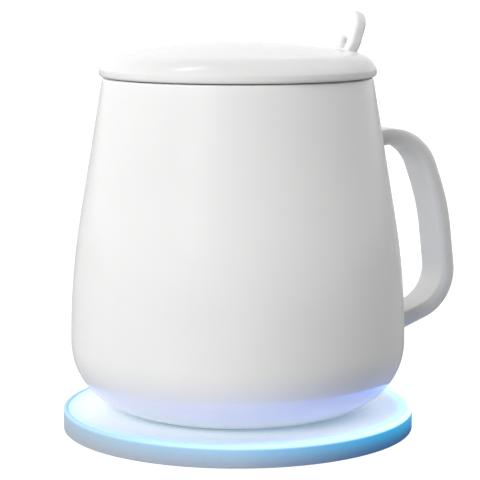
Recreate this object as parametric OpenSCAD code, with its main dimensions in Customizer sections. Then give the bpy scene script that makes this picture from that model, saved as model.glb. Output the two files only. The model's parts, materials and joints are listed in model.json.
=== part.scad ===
// Self-heating ceramic mug with a domed lid and a spoon, standing on a thin round
// wireless charger whose edge glows. A heating module is sealed into the mug's foot.
// The origin is on the table under the middle of the charger, +Z is up and the
// mug's handle points along +X. Sizes are in millimetres.

/* [Charger base] */
// Outer diameter of the charger base
base_d = 104; // [98:1:120]
// Thickness of the anti-slip pad under the base
pad_t = 0.8; // [0.5:0.1:1.5]
// How far the anti-slip pad is set in from the edge of the base
pad_inset = 5; // [4:0.5:10]
// Thickness of the lower case's floor
case_floor_t = 1; // [0.8:0.1:1.6]
// How far the lower case's edge is set in under the light ring
case_inset = 0.5; // [0.2:0.1:1]
// Clear height inside the base, from the case floor to the top plate
base_clear_h = 3.8; // [3.7:0.1:6]
// Thickness of the top plate
plate_t = 1.4; // [1.1:0.1:2.2]
// Radial width of the light ring
ring_w = 4.4; // [3.6:0.1:6]
// Width of the ledge in the light ring that carries the top plate
ledge_w = 3.1; // [1:0.1:3.4]
// Chamfer on the light ring's outer edges
ring_chamfer = 0.6; // [0.3:0.1:0.9]
// Thickness of the lower case's upstand that centres the light ring
upstand_t = 1; // [0.8:0.1:1.5]
// Height of that upstand above the case floor
upstand_h = 0.8; // [0.5:0.1:1.2]
// Gap between parts of the base that drop into each other
base_fit = 0.1; // [0.05:0.05:0.2]

/* [Base electronics] */
// Thickness of the charger board
board_t = 0.8; // [0.6:0.1:1]
// Height of the seats that carry the board above the case floor
board_seat_h = 0.2; // [0.2:0.1:0.4]
// Gap between the transmitter ferrite and the board around it
board_coil_gap = 1.8; // [1:0.1:3]
// Number of case screws
screw_count = 4; // [3:1:6]
// Diameter of the case screws' thread
screw_d = 2; // [1.6:0.1:2.2]
// Diameter of the case screws' heads
screw_head_d = 3.8; // [3.2:0.1:4.4]
// Height of the case screws' heads
screw_head_h = 0.5; // [0.4:0.1:0.6]
// Depth that the case screws reach into the top plate's bosses
screw_reach = 2; // [1.4:0.1:2.2]
// Diameter of the top plate's screw bosses
boss_d = 4.8; // [4:0.1:6]
// Number of light-emitting diodes behind the light ring
led_count = 12; // [8:2:16]
// Tangential width of one diode
led_w = 3; // [2:0.1:4]
// Radial depth of one diode
led_depth = 1.2; // [0.8:0.1:1.6]
// Height of one diode
led_h = 1.2; // [0.8:0.1:1.6]
// Side of the charger's control chip
control_chip_w = 5; // [4:0.1:6]
// Side of one of the charger's two bridge chips
bridge_chip_w = 3.4; // [3:0.1:4]
// Height of the charger's chips
chip_h = 0.9; // [0.7:0.1:1.2]
// Number of capacitors that tune the transmitter coil
capacitor_count = 4; // [2:1:6]
// Length of one tuning capacitor
capacitor_l = 3.2; // [2:0.1:3.6]
// Width of one tuning capacitor
capacitor_w = 2.5; // [1.2:0.1:2.8]
// Height of one tuning capacitor
capacitor_h = 1.8; // [1:0.1:2]

/* [USB-C inlet] */
// Width of the socket's shell
usb_w = 8.94; // [8.9:0.01:9]
// Height of the socket's shell
usb_h = 3.16; // [3.1:0.01:3.2]
// Length of the socket's shell
usb_l = 7.3; // [6.5:0.1:8]
// Wall of the socket's shell
usb_wall = 0.3; // [0.2:0.05:0.4]
// Width of the socket's tongue
usb_tongue_w = 6.7; // [6.5:0.05:6.8]
// Thickness of the socket's tongue
usb_tongue_t = 0.7; // [0.6:0.05:0.8]
// How far the socket's mouth is set in from the edge of the base
usb_recess = 0.8; // [0.5:0.1:1.5]
// Gap between the socket and the light ring at its sides
usb_gap = 0.3; // [0.2:0.1:0.5]
// Height of the socket above the case floor
usb_lift = 0.3; // [0.2:0.1:0.5]

/* [Transmitter coil] */
// Turns of the transmitter coil
tx_turns = 9; // [6:1:10]
// Middle radius of the transmitter coil's first half turn
tx_in_r = 10.2; // [8:0.1:12]
// Thickness of the transmitter ferrite
tx_ferrite_t = 0.6; // [0.4:0.1:0.8]
// Gap between the transmitter coil and the top plate
tx_top_gap = 0.3; // [0.2:0.1:0.5]
// Width of the flat coil wire
wire_w = 1.1; // [0.9:0.05:1.15]
// Height of the flat coil wire
wire_h = 1.1; // [0.8:0.05:1.2]
// Gap between neighbouring turns
turn_gap = 0.5; // [0.45:0.05:0.55]
// Rim of ferrite around a coil
ferrite_rim = 1; // [0.6:0.1:1.4]
// Gap around a coil's lead where it passes through a sheet
lead_gap = 0.2; // [0.1:0.05:0.3]

/* [Mug] */
// Height of the mug from its foot to its rim
mug_h = 97.8; // [92:0.2:112]
// Outer diameter of the rim
rim_d = 79.6; // [76:0.2:86]
// Thickness of the wall at the rim
wall_t = 3.6; // [3:0.1:4.4]
// Lean of the straight wall from upright, in degrees
wall_lean = 9.55; // [8:0.05:11]
// Radius of the belly's long curve, seen from the side
belly_r = 223; // [180:1:250]
// Radius of the outer lower corner
corner_r = 20; // [17:0.5:20.5]
// Radius of the inner lower corner
inner_corner_r = 16; // [10:0.5:18]
// Thickness of the ceramic floor above the heating module
cup_floor_t = 4; // [3:0.1:6]

/* [Handle] */
// Width of the handle's strap
handle_w = 13.6; // [11:0.2:17]
// Thickness of the handle's strap
handle_t = 4.7; // [4.2:0.1:6]
// Edge radius on the outside of the strap
handle_outer_edge = 1.8; // [0.8:0.1:2]
// Edge radius on the inside of the strap
handle_inner_edge = 1.2; // [0.6:0.1:1.8]
// Height of the upper root above the mug's foot
handle_top_root = 77.3; // [72:0.1:80]
// Height of the upper corner above the mug's foot
handle_top_corner = 80.1; // [76:0.1:86]
// Reach of the upper corner from the wall
handle_top_reach = 17.2; // [14:0.1:22]
// Bend radius of the upper corner
handle_top_bend = 14.6; // [10:0.1:20]
// Height of the grip's middle above the mug's foot
handle_grip_height = 56.8; // [48:0.1:61]
// Reach of the grip's middle from the wall
handle_grip_reach = 22; // [19.5:0.1:25]
// Bend radius of the grip
handle_grip_bend = 63; // [30:1:100]
// Height of the lower corner above the mug's foot
handle_low_corner = 27.6; // [20:0.1:36]
// Reach of the lower corner from the belly
handle_low_reach = 22.5; // [19:0.1:28]
// Bend radius of the lower corner
handle_low_bend = 13.1; // [9:0.1:20]
// Height of the lower root above the mug's foot
handle_low_root = 18.6; // [15:0.1:26]
// Depth below the mug's surface at which the strap's axis starts
handle_embed = 2.6; // [2.5:0.1:3]

/* [Heating module] */
// Height of the bottom cover above the table side of the mug's foot
cover_inset = 0.4; // [0.2:0.1:1]
// Thickness of the bottom cover
cover_t = 1.4; // [1:0.1:2]
// Thickness of the cover's gasket
gasket_t = 0.5; // [0.3:0.1:1]
// Width of the cover's gasket
gasket_w = 1.8; // [1.4:0.1:2]
// Gap around pieces in the mug's pocket
pocket_gap = 0.4; // [0.2:0.1:0.6]
// Turns of the receiver coil
rx_turns = 9; // [6:1:9]
// Middle radius of the receiver coil's first half turn
rx_in_r = 8.4; // [7:0.1:9]
// Thickness of the receiver ferrite
rx_ferrite_t = 0.6; // [0.4:0.1:0.8]
// Thickness of the receiver board
rx_board_t = 0.8; // [0.6:0.1:1]
// Clear height above the receiver board for its chips
rx_clear_h = 1.3; // [1.2:0.1:2]
// Gap between the tallest receiver chip and the insulation
rx_chip_gap = 0.2; // [0.1:0.05:0.3]
// Side of the receiver's rectifier chip
rectifier_w = 5; // [4:0.1:6]
// Side of the receiver's control chip
rx_control_w = 4; // [3:0.1:5]
// Thickness of the insulation pad
insulation_t = 1; // [0.6:0.1:1.6]
// Thickness of the heater plate
heater_t = 1.4; // [1:0.1:2]
// Diameter of the thermal cut-out
cutout_d = 3.6; // [3:0.1:4.4]
// Diameter of one heater pin
pin_d = 1.4; // [1:0.1:1.8]
// Distance between the two heater pins
pin_spacing = 8; // [6:0.2:10]
// Distance of the pins and of the chips from the mug's axis
module_part_r = 13; // [12:0.2:15]

/* [Lid] */
// How far the lid's edge stands out past the rim
lid_overhang = 0.75; // [0.4:0.05:2]
// Gap between the lid and the rim
lid_gap = 0.3; // [0.2:0.05:0.4]
// Height of the lid above the rim
lid_rise = 9.75; // [9.4:0.05:12]
// Radius of the lid's dome
dome_r = 200; // [150:1:220]
// Radius of the lid's edge
lid_edge_r = 1.75; // [1.4:0.05:2.4]
// Radius of the shoulder between the lid's edge and its dome
lid_shoulder_r = 7.5; // [6:0.1:9]
// Thickness of the lid's dome
lid_wall = 4; // [3:0.1:5]
// Depth of the lid's flange below the rim
flange_h = 6; // [4:0.1:9]
// Thickness of the lid's flange
flange_t = 3; // [2:0.1:4]
// Gap between the lid's flange and the mug's mouth
flange_gap = 0.5; // [0.3:0.1:1]
// Gap between the spoon's end and the sides of the lid's notch
notch_gap = 0.8; // [0.5:0.1:1.5]

/* [Spoon] */
// Length of the spoon
spoon_l = 110; // [106:0.5:130]
// Lean of the spoon from upright, in degrees
spoon_lean = 18; // [16:0.5:20]
// Thickness of the spoon's stem
spoon_t = 3.8; // [3:0.1:4]
// Width of the spoon's stem
stem_w = 6.2; // [5:0.1:7]
// Width of the stem's flat end
paddle_w = 9.8; // [8:0.1:11]
// Length of the stem's flat end
paddle_l = 11.5; // [10:0.5:18]
// Length over which the flat end narrows to the stem
neck_l = 8; // [6:0.5:16]
// Diameter of the hole in the flat end
spoon_hole_d = 3.2; // [2:0.1:4]
// Distance of that hole from the end of the spoon
spoon_hole_from_end = 10.3; // [8:0.1:12]
// Length of the spoon's bowl
bowl_l = 34; // [28:0.5:38]
// Width of the spoon's bowl
bowl_w = 24; // [20:0.5:26]
// Depth of the spoon's bowl, outside
bowl_depth = 6; // [5:0.1:7]
// Wall of the spoon's bowl
bowl_wall = 2; // [1.6:0.1:2.4]
// Gap between the spoon and the mug's floor, its rim and the lid's notch
spoon_gap = 0.3; // [0.2:0.05:0.5]

/* [Hidden] */
$fn = 128;
// Overrun of a cutting shape past the face that it cuts
over = 1;
// Clearance of a screw in a hole that it passes through
screw_slack = 0.15;
// Clearance of a screw in its boss
boss_slack = 0.02;
// Angle of the first case screw
screw_start = 45;
// Angles of the chips and capacitors on the charger board
control_chip_angle = 180;
bridge_chip_angles = [250, 290];
capacitor_first_angle = -20;
capacitor_last_angle = 20;
// Angles of the chips on the receiver board
rectifier_angle = 90;
rx_control_angle = 270;
// How far the socket's tongue stays behind its mouth
usb_tongue_recess = 1;
// Greatest turn between two sections of the handle, in degrees
bend_turn = 6.5;
// Steps in one rounded edge of the handle's strap
edge_steps = 4;

// Base levels and radii
base_r = base_d / 2;
floor_top = pad_t + case_floor_t;
plate_z = floor_top + base_clear_h;
base_top = plate_z + plate_t;
ring_in_r = base_r - ring_w;
ledge_r = ring_in_r + ledge_w;
edge_chamfer = min(ring_chamfer, (base_r - ledge_r) / 2);
upstand_r = ring_in_r - base_fit;
board_r = upstand_r - upstand_t - base_fit;
board_z = floor_top + board_seat_h;
board_top = board_z + board_t;

// Coils
pitch = wire_w + turn_gap;
function coil_out_r(in_r, turns) = pitch / 4 + in_r + (2 * turns - 1) * pitch / 2 + wire_w / 2;
function coil_start_x(in_r) = in_r - pitch / 4;
function coil_end_x(in_r, turns) = coil_out_r(in_r, turns) - wire_w / 2;
tx_ferrite_r = coil_out_r(tx_in_r, tx_turns) + ferrite_rim;
tx_coil_z = plate_z - tx_top_gap - wire_h;
tx_ferrite_z = tx_coil_z - tx_ferrite_t;
// Level of the inner lead, which passes under the other turns
tx_lead_z = tx_coil_z - lead_gap - wire_h;
board_in_r = tx_ferrite_r + board_coil_gap;
board_mid_r = (board_in_r + board_r) / 2;
lead_land_r = board_in_r + wire_w;
// Distance along Y at which a lead that leaves the X axis at x ends on the charger board
function lead_end_y(x) = sqrt(lead_land_r * lead_land_r - x * x) + wire_w;

// Points along a coil's middle line, and the least gap between one turn and the next
function coil_point(in_r, angle) =
    let (half = floor(angle / 180), side = half % 2 == 0 ? -1 : 1)
    [side * pitch / 4, 0] + (in_r + half * pitch / 2) * [cos(angle), sin(angle)];
function coil_least_gap(in_r, turns) =
    min([for (angle = [0 : 5 : 360 * (turns - 1) - 1])
        norm(coil_point(in_r, angle + 360) - coil_point(in_r, angle))]) - wire_w;
echo(transmitter_coil_least_gap = coil_least_gap(tx_in_r, tx_turns));
echo(receiver_coil_least_gap = coil_least_gap(rx_in_r, rx_turns));

// Levels of the heating module, from the mug's foot up
foot_z = base_top;
cover_z = foot_z + cover_inset;
gasket_z = cover_z + cover_t;
gasket_top = gasket_z + gasket_t;
rx_coil_z = gasket_z;
rx_ferrite_z = rx_coil_z + wire_h;
rx_board_z = rx_ferrite_z + rx_ferrite_t;
rx_board_top = rx_board_z + rx_board_t;
insulation_z = rx_board_top + rx_clear_h;
heater_z = insulation_z + insulation_t;
pocket_roof = heater_z + heater_t;
rx_ferrite_r = coil_out_r(rx_in_r, rx_turns) + ferrite_rim;
pocket_r = rx_ferrite_r + pocket_gap;
cover_seat_r = pocket_r + gasket_w;
rx_chip_h = rx_clear_h - rx_chip_gap;

// Mug levels and radii
cup_floor_z = pocket_roof + cup_floor_t;
rim_z = foot_z + mug_h;
lip_r = wall_t / 2;
lip_c = [rim_d / 2 - lip_r, rim_z - lip_r];
lip_across = lip_r * [cos(wall_lean), sin(wall_lean)];
// Radius of the straight wall at a height: side is 1 for the outside and -1 for the inside
function wall_r(side, z) = lip_c[0] + side * lip_r / cos(wall_lean) + (lip_c[1] - z) * tan(wall_lean);
function belly_join_z(floor_z, corner) = floor_z + corner + belly_r * sin(wall_lean);
function belly_max_r(side, floor_z, corner) =
    wall_r(side, belly_join_z(floor_z, corner)) + belly_r * (1 - cos(wall_lean));
mug_max_r = belly_max_r(1, foot_z, corner_r);
wall_join_z = max(belly_join_z(foot_z, corner_r), belly_join_z(cup_floor_z, inner_corner_r));

// Corner points of the handle's middle line in the XZ plane, from the upper root to the lower one
handle_path = [
    [wall_r(1, foot_z + handle_top_root) - handle_embed, foot_z + handle_top_root],
    [wall_r(1, foot_z + handle_top_corner) + handle_top_reach, foot_z + handle_top_corner],
    [wall_r(1, foot_z + handle_grip_height) + handle_grip_reach, foot_z + handle_grip_height],
    [mug_max_r + handle_low_reach, foot_z + handle_low_corner],
    [mug_max_r - handle_embed, foot_z + handle_low_root]
];
handle_bends = [handle_top_bend, handle_grip_bend, handle_low_bend];
function unit(v) = v / norm(v);
function heading(i) = let (run = handle_path[i + 1] - handle_path[i]) atan2(run[1], run[0]);
function bend_angle(i) = (heading(i - 1) - heading(i) + 360) % 360;
function bend_cut(i) = handle_bends[i - 1] * tan(bend_angle(i) / 2);
function bend_entry(i) = handle_path[i] + bend_cut(i) * unit(handle_path[i - 1] - handle_path[i]);
function bend_exit(i) = handle_path[i] + bend_cut(i) * unit(handle_path[i + 1] - handle_path[i]);
function bend_centre(i) =
    bend_entry(i) - handle_bends[i - 1] * [cos(heading(i - 1) + 90), sin(heading(i - 1) + 90)];

// Lid levels and radii
lid_z = rim_z + lid_gap;
lid_r = rim_d / 2 + lid_overhang;
lid_edge_c = [lid_r - lid_edge_r, lid_z + lid_edge_r];
dome_c = [0, lid_z + lid_rise - dome_r];
// The shoulder is an arc that runs smoothly into the dome and into the edge
edge_run = lid_edge_c - dome_c;
shoulder_along = ((dome_r - lid_shoulder_r) ^ 2 - (lid_shoulder_r - lid_edge_r) ^ 2 + norm(edge_run) ^ 2)
    / (2 * norm(edge_run));
shoulder_aside = sqrt((dome_r - lid_shoulder_r) ^ 2 - shoulder_along ^ 2);
shoulder_c = dome_c + shoulder_along * unit(edge_run)
    + shoulder_aside * unit([-edge_run[1], edge_run[0]]);
dome_end = dome_c + dome_r * unit(shoulder_c - dome_c);
shoulder_end = shoulder_c + lid_shoulder_r * unit(lid_edge_c - shoulder_c);
flange_r = lip_c[0] - lip_r - flange_gap;
flange_in_r = flange_r - flange_t;
flange_z = lid_z - flange_h;

// Spoon place: its tip stands on the mug's floor and its stem leans on the rim
spoon_tip_z = cup_floor_z + spoon_gap - spoon_t / 2 * sin(spoon_lean);
spoon_rim_x = lip_c[0] - (lip_r + spoon_t / 2 + spoon_gap) / cos(spoon_lean);
spoon_tip_x = spoon_rim_x - (lip_c[1] - spoon_tip_z) * tan(spoon_lean);
bowl_mid_r = (bowl_w * bowl_w / 4 + bowl_depth * bowl_depth) / (2 * bowl_depth);
bowl_arc_r = (bowl_l * bowl_l / 4 + bowl_depth * bowl_depth) / (2 * bowl_depth);
stem_start = bowl_l - bowl_wall;

// Notch in the lid, deep enough for the leaning stem at the flange's lower edge
notch_w = paddle_w + 2 * notch_gap;
notch_end_x = spoon_rim_x - (lip_c[1] - flange_z) * tan(spoon_lean)
    - (spoon_t / 2) / cos(spoon_lean) - spoon_gap;
notch_c_x = notch_end_x + sqrt(notch_w * notch_w - stem_w * stem_w) / 2;

// Shared shapes

module disc(r, z, h) translate([0, 0, z]) cylinder(r = r, h = h);

module washer(r_out, r_in, z, h) {
    difference() {
        disc(r_out, z, h);
        disc(r_in, z - over, h + 2 * over);
    }
}

module around(count, r, start = 0) {
    for (i = [0 : count - 1]) rotate(start + i * 360 / count) translate([r, 0, 0]) children();
}

// Quarter of a disc, in the corner where x and y are positive
module quarter_disc(r) intersection() { circle(r); square(r + over); }

// Half of a disc, where y is positive
module half_disc(r) {
    intersection() {
        circle(r);
        translate([-r - over, 0]) square([2 * (r + over), r + over]);
    }
}

// Box standing on a level, centred on a point at a polar place
module polar_box(angle, r, z, size) {
    rotate(angle) translate([r, 0, z]) translate([-size[0] / 2, -size[1] / 2, 0]) cube(size);
}

// Flat coil of half turns whose centres alternate, so that each turn runs smoothly into the next
module flat_coil(in_r, turns, z) {
    for (half = [0 : 2 * turns - 1]) {
        side = half % 2 == 0 ? -1 : 1;
        translate([side * pitch / 4, 0, z]) rotate(half % 2 * 180) rotate_extrude(angle = 180)
            translate([in_r + half * pitch / 2 - wire_w / 2, 0]) square([wire_w, wire_h]);
    }
}

// Lead of a coil along Y from a point on the X axis, and its stub down to a level
module coil_lead(x, y_end, z, stub_z) {
    translate([x - wire_w / 2, min(0, y_end), z]) cube([wire_w, abs(y_end), wire_h]);
    translate([x - wire_w / 2, y_end > 0 ? y_end - wire_w : y_end, stub_z])
        cube([wire_w, wire_w, z - stub_z + wire_h / 2]);
}

// Charger base

module anti_slip_pad() color("dimgray") disc(base_r - pad_inset, 0, pad_t);

// Space that the socket takes through the base's edge
module usb_way(z, h) {
    way_w = usb_w + 2 * usb_gap;
    translate([-way_w / 2, board_r - over, z]) cube([way_w, ring_w + upstand_t + 2 * over, h]);
}

module lower_case() {
    color("whitesmoke") difference() {
        union() {
            disc(base_r - case_inset, pad_t, case_floor_t);
            difference() {
                washer(upstand_r, upstand_r - upstand_t, floor_top, upstand_h);
                usb_way(floor_top, upstand_h + over);
            }
            around(screw_count, board_mid_r, screw_start)
                disc(boss_d / 2 + upstand_t, pad_t, case_floor_t + board_seat_h);
        }
        around(screw_count, board_mid_r, screw_start) {
            disc(screw_d / 2 + screw_slack, 0, board_top);
            disc(screw_head_d / 2 + screw_slack, 0, pad_t + screw_head_h);
        }
    }
}

module light_ring() {
    color("deepskyblue") difference() {
        rotate_extrude() polygon([
            [ring_in_r, floor_top],
            [base_r - edge_chamfer / 2, floor_top],
            [base_r, floor_top + edge_chamfer / 2],
            [base_r, base_top - edge_chamfer],
            [base_r - edge_chamfer, base_top],
            [ledge_r, base_top],
            [ledge_r, plate_z],
            [ring_in_r, plate_z]
        ]);
        usb_way(floor_top - over, base_clear_h + over);
    }
}

module top_plate() {
    color("white") difference() {
        union() {
            disc(ledge_r - base_fit, plate_z, plate_t);
            around(screw_count, board_mid_r, screw_start) disc(boss_d / 2, board_top, plate_z - board_top);
        }
        around(screw_count, board_mid_r, screw_start)
            disc(screw_d / 2 + boss_slack, board_top - over, over + screw_reach + base_fit);
    }
}

module case_screws() {
    color("silver") around(screw_count, board_mid_r, screw_start) {
        disc(screw_head_d / 2, pad_t, screw_head_h);
        disc(screw_d / 2, pad_t, board_top + screw_reach - pad_t);
    }
}

module charger_board() {
    notch_x = usb_w / 2 + base_fit;
    notch_y = base_r - usb_recess - usb_l - base_fit;
    color("darkgreen") difference() {
        washer(board_r, board_in_r, board_z, board_t);
        around(screw_count, board_mid_r, screw_start)
            disc(screw_d / 2 + screw_slack, board_z - over, board_t + 2 * over);
        translate([-notch_x, notch_y, board_z - over]) cube([2 * notch_x, base_r, board_t + 2 * over]);
    }
}

module ring_leds() {
    color("aqua") around(led_count, board_r - base_fit - led_depth / 2, 180 / led_count)
        translate([-led_depth / 2, -led_w / 2, board_top]) cube([led_depth, led_w, led_h]);
}

module charger_chips() {
    color("black") {
        polar_box(control_chip_angle, board_mid_r, board_top, [control_chip_w, control_chip_w, chip_h]);
        for (angle = bridge_chip_angles)
            polar_box(angle, board_mid_r, board_top, [bridge_chip_w, bridge_chip_w, chip_h]);
    }
}

module tuning_capacitors() {
    size = [capacitor_l, capacitor_w, capacitor_h];
    step = (capacitor_last_angle - capacitor_first_angle) / (capacitor_count - 1);
    color("tan") for (i = [0 : capacitor_count - 1])
        polar_box(capacitor_first_angle + i * step, board_mid_r, board_top, size);
}

// Outline of the socket's shell, a bar with round ends
module usb_outline(w, h) {
    translate([-(w - h) / 2, -h / 2]) square([w - h, h]);
    for (side = [-1, 1]) translate([side * (w - h) / 2, 0]) rotate(-side * 90) half_disc(h / 2);
}

// Place of the socket: z runs from its back wall out to its mouth
module usb_place() {
    mid_z = floor_top + usb_lift + usb_h / 2;
    back_y = base_r - usb_recess - usb_l;
    translate([0, back_y, mid_z]) rotate([-90, 0, 0]) children();
}

module usb_shell() {
    color("silver") usb_place() difference() {
        linear_extrude(usb_l) usb_outline(usb_w, usb_h);
        translate([0, 0, usb_wall]) linear_extrude(usb_l)
            usb_outline(usb_w - 2 * usb_wall, usb_h - 2 * usb_wall);
    }
}

module usb_tongue() {
    color("black") usb_place() translate([-usb_tongue_w / 2, -usb_tongue_t / 2, usb_wall])
        cube([usb_tongue_w, usb_tongue_t, usb_l - usb_wall - usb_tongue_recess]);
}

// Slot for the inner lead, from the coil's first turn to past the sheet's edge
module inner_lead_slot(z, h) {
    slot_w = wire_w + 2 * lead_gap;
    translate([coil_start_x(tx_in_r) - slot_w / 2, -tx_ferrite_r - over, z])
        cube([slot_w, tx_ferrite_r + 2 * over, h]);
}

module coil_spacer() {
    color("lightgray") difference() {
        disc(tx_ferrite_r, floor_top, tx_ferrite_z - floor_top);
        inner_lead_slot(floor_top - over, tx_ferrite_z + over);
    }
}

module transmitter_ferrite() {
    color("darkslategray") difference() {
        disc(tx_ferrite_r, tx_ferrite_z, tx_ferrite_t);
        inner_lead_slot(tx_ferrite_z - over, tx_ferrite_t + 2 * over);
    }
}

module transmitter_coil() {
    start_x = coil_start_x(tx_in_r);
    end_x = coil_end_x(tx_in_r, tx_turns);
    color("peru") {
        flat_coil(tx_in_r, tx_turns, tx_coil_z);
        coil_lead(start_x, -lead_end_y(start_x), tx_lead_z, board_top);
        translate([start_x - wire_w / 2, -wire_w / 2, tx_lead_z])
            cube([wire_w, wire_w, tx_coil_z + wire_h / 2 - tx_lead_z]);
        coil_lead(end_x, lead_end_y(end_x), tx_coil_z, board_top);
    }
}

// Mug

// Half section of a round vessel: flat floor, round corner, curved belly and straight leaning wall
module vessel_2d(side, floor_z, corner, top_z) {
    belly_z = floor_z + corner;
    join_z = belly_join_z(floor_z, corner);
    max_r = belly_max_r(side, floor_z, corner);
    translate([0, floor_z]) square([max_r - corner, corner]);
    translate([max_r - corner, belly_z]) mirror([0, 1]) quarter_disc(corner);
    intersection() {
        translate([max_r - belly_r, belly_z]) circle(belly_r, $fn = 360);
        translate([0, belly_z]) square([max_r + over, join_z - belly_z]);
    }
    polygon([[0, join_z], [wall_r(side, join_z), join_z], [wall_r(side, top_z), top_z], [0, top_z]]);
}

// The mug without its hollow, which trims whatever is joined to its outside
module mug_envelope() {
    lip_outer = lip_c + lip_across;
    rotate_extrude() {
        vessel_2d(1, foot_z, corner_r, wall_join_z);
        polygon([[0, wall_join_z], [wall_r(1, wall_join_z), wall_join_z], lip_outer, [0, lip_outer[1]]]);
    }
}

module mug_body() {
    color("white") rotate_extrude() {
        difference() {
            vessel_2d(1, foot_z, corner_r, wall_join_z);
            vessel_2d(-1, cup_floor_z, inner_corner_r, wall_join_z + over);
            translate([0, foot_z - over]) square([pocket_r, pocket_roof - foot_z + over]);
            translate([0, foot_z - over]) square([cover_seat_r, gasket_top - foot_z + over]);
        }
        polygon([
            [wall_r(-1, wall_join_z), wall_join_z],
            [wall_r(1, wall_join_z), wall_join_z],
            lip_c + lip_across,
            lip_c - lip_across
        ]);
        translate(lip_c) rotate(wall_lean) half_disc(lip_r);
    }
}

// One rounded corner of the strap's section, as points
function strap_corner(centre, r, start) =
    [for (k = [0 : edge_steps])
        let (angle = start + 90 * k / edge_steps)
        centre + r * [cos(angle), sin(angle)]];

// Section of the strap: x is across its thickness, positive outwards, and y is across its width
function strap_section() =
    let (
        outer = [handle_t / 2 - handle_outer_edge, handle_w / 2 - handle_outer_edge],
        inner = [handle_inner_edge - handle_t / 2, handle_w / 2 - handle_inner_edge]
    )
    concat(
        strap_corner(outer, handle_outer_edge, 0),
        strap_corner(inner, handle_inner_edge, 90),
        strap_corner([inner[0], -inner[1]], handle_inner_edge, 180),
        strap_corner([outer[0], -outer[1]], handle_outer_edge, 270)
    );

// Places and headings of the sections along the strap: its two ends and its bends
function strap_stations() = concat(
    [[handle_path[0], heading(0)]],
    [for (i = [1 : len(handle_bends)]) let (steps = ceil(bend_angle(i) / bend_turn)) for (k = [0 : steps])
        let (angle = heading(i - 1) + 90 - bend_angle(i) * k / steps)
        [bend_centre(i) + handle_bends[i - 1] * [cos(angle), sin(angle)], angle - 90]],
    [[handle_path[len(handle_path) - 1], heading(len(handle_path) - 2)]]
);

// The strap swept along its stations as one closed skin
module strap() {
    section = strap_section();
    stations = strap_stations();
    count = len(section);
    last = len(stations) - 1;
    points = [for (s = stations) for (p = section)
        [s[0][0] - p[0] * sin(s[1]), p[1], s[0][1] + p[0] * cos(s[1])]];
    sides = [for (i = [0 : last - 1]) for (j = [0 : count - 1])
        let (next = (j + 1) % count)
        [i * count + j, i * count + next, (i + 1) * count + next, (i + 1) * count + j]];
    first_end = [for (j = [0 : count - 1]) count - 1 - j];
    last_end = [for (j = [0 : count - 1]) last * count + j];
    polyhedron(points, concat(sides, [first_end, last_end]));
}

module mug_handle() {
    color("white") difference() {
        strap();
        mug_envelope();
    }
}

// Heating module in the mug's foot

module pin_places() for (side = [-1, 1]) translate([-module_part_r, side * pin_spacing / 2, 0]) children();

module heater_plate() color("lightsteelblue") disc(rx_ferrite_r, heater_z, heater_t);

module insulation_pad() {
    color("ivory") difference() {
        disc(rx_ferrite_r, insulation_z, insulation_t);
        translate([module_part_r, 0, 0])
            disc(cutout_d / 2 + pocket_gap, insulation_z - over, insulation_t + 2 * over);
        pin_places() disc(pin_d / 2 + pocket_gap, insulation_z - over, insulation_t + 2 * over);
    }
}

module thermal_cutout() {
    color("dimgray") translate([module_part_r, 0, 0])
        disc(cutout_d / 2, rx_board_top, heater_z - rx_board_top);
}

module heater_pins() color("gold") pin_places() disc(pin_d / 2, rx_board_top, heater_z - rx_board_top);

module receiver_board() color("darkgreen") disc(rx_ferrite_r, rx_board_z, rx_board_t);

module receiver_chips() {
    color("black") {
        polar_box(rectifier_angle, module_part_r, rx_board_top, [rectifier_w, rectifier_w, rx_chip_h]);
        polar_box(rx_control_angle, module_part_r, rx_board_top, [rx_control_w, rx_control_w, rx_chip_h]);
    }
}

// Both ends of the receiver coil, where its leads pass up through the ferrite
module rx_lead_places() {
    for (x = [coil_start_x(rx_in_r), coil_end_x(rx_in_r, rx_turns)]) translate([x, 0, 0]) children();
}

module receiver_ferrite() {
    hole_w = wire_w + 2 * lead_gap;
    color("darkslategray") difference() {
        disc(rx_ferrite_r, rx_ferrite_z, rx_ferrite_t);
        rx_lead_places() translate([-hole_w / 2, -hole_w / 2, rx_ferrite_z - over])
            cube([hole_w, hole_w, rx_ferrite_t + 2 * over]);
    }
}

module receiver_coil() {
    color("peru") {
        flat_coil(rx_in_r, rx_turns, rx_coil_z);
        rx_lead_places() translate([-wire_w / 2, -wire_w / 2, rx_coil_z])
            cube([wire_w, wire_w, rx_board_z - rx_coil_z]);
    }
}

module mug_bottom_cover() color("gainsboro") disc(cover_seat_r - base_fit, cover_z, cover_t);

module cover_gasket() {
    color("gray") washer(cover_seat_r - base_fit, pocket_r + base_fit, gasket_z, gasket_t);
}

// Lid

module lid_outer_2d() {
    translate([0, flange_z]) square([flange_r, flange_h]);
    translate([0, lid_z]) square([lid_edge_c[0], lid_edge_r]);
    translate(lid_edge_c) mirror([0, 1]) quarter_disc(lid_edge_r);
    intersection() {
        translate(dome_c) circle(dome_r, $fn = 360);
        translate([0, lid_edge_c[1]]) square([dome_end[0], lid_rise]);
    }
    intersection() {
        translate(shoulder_c) circle(lid_shoulder_r);
        translate([dome_end[0], lid_edge_c[1]]) square([shoulder_end[0] - dome_end[0], lid_rise]);
    }
    intersection() {
        translate(lid_edge_c) circle(lid_edge_r);
        translate([shoulder_end[0], lid_edge_c[1]]) square([lid_r, lid_edge_r]);
    }
}

module lid() {
    color("white") difference() {
        rotate_extrude() difference() {
            lid_outer_2d();
            intersection() {
                translate(dome_c) circle(dome_r - lid_wall, $fn = 360);
                translate([0, flange_z - over]) square([flange_in_r, flange_h + lid_rise + over]);
            }
        }
        translate([notch_c_x, 0, flange_z - over]) linear_extrude(flange_h + lid_rise + 2 * over) {
            rotate(90) half_disc(notch_w / 2);
            translate([0, -notch_w / 2]) square([lid_r, notch_w]);
        }
    }
}

// Spoon, drawn lying down: y runs from the bowl's tip to the end and z is up, out of the bowl

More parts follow.
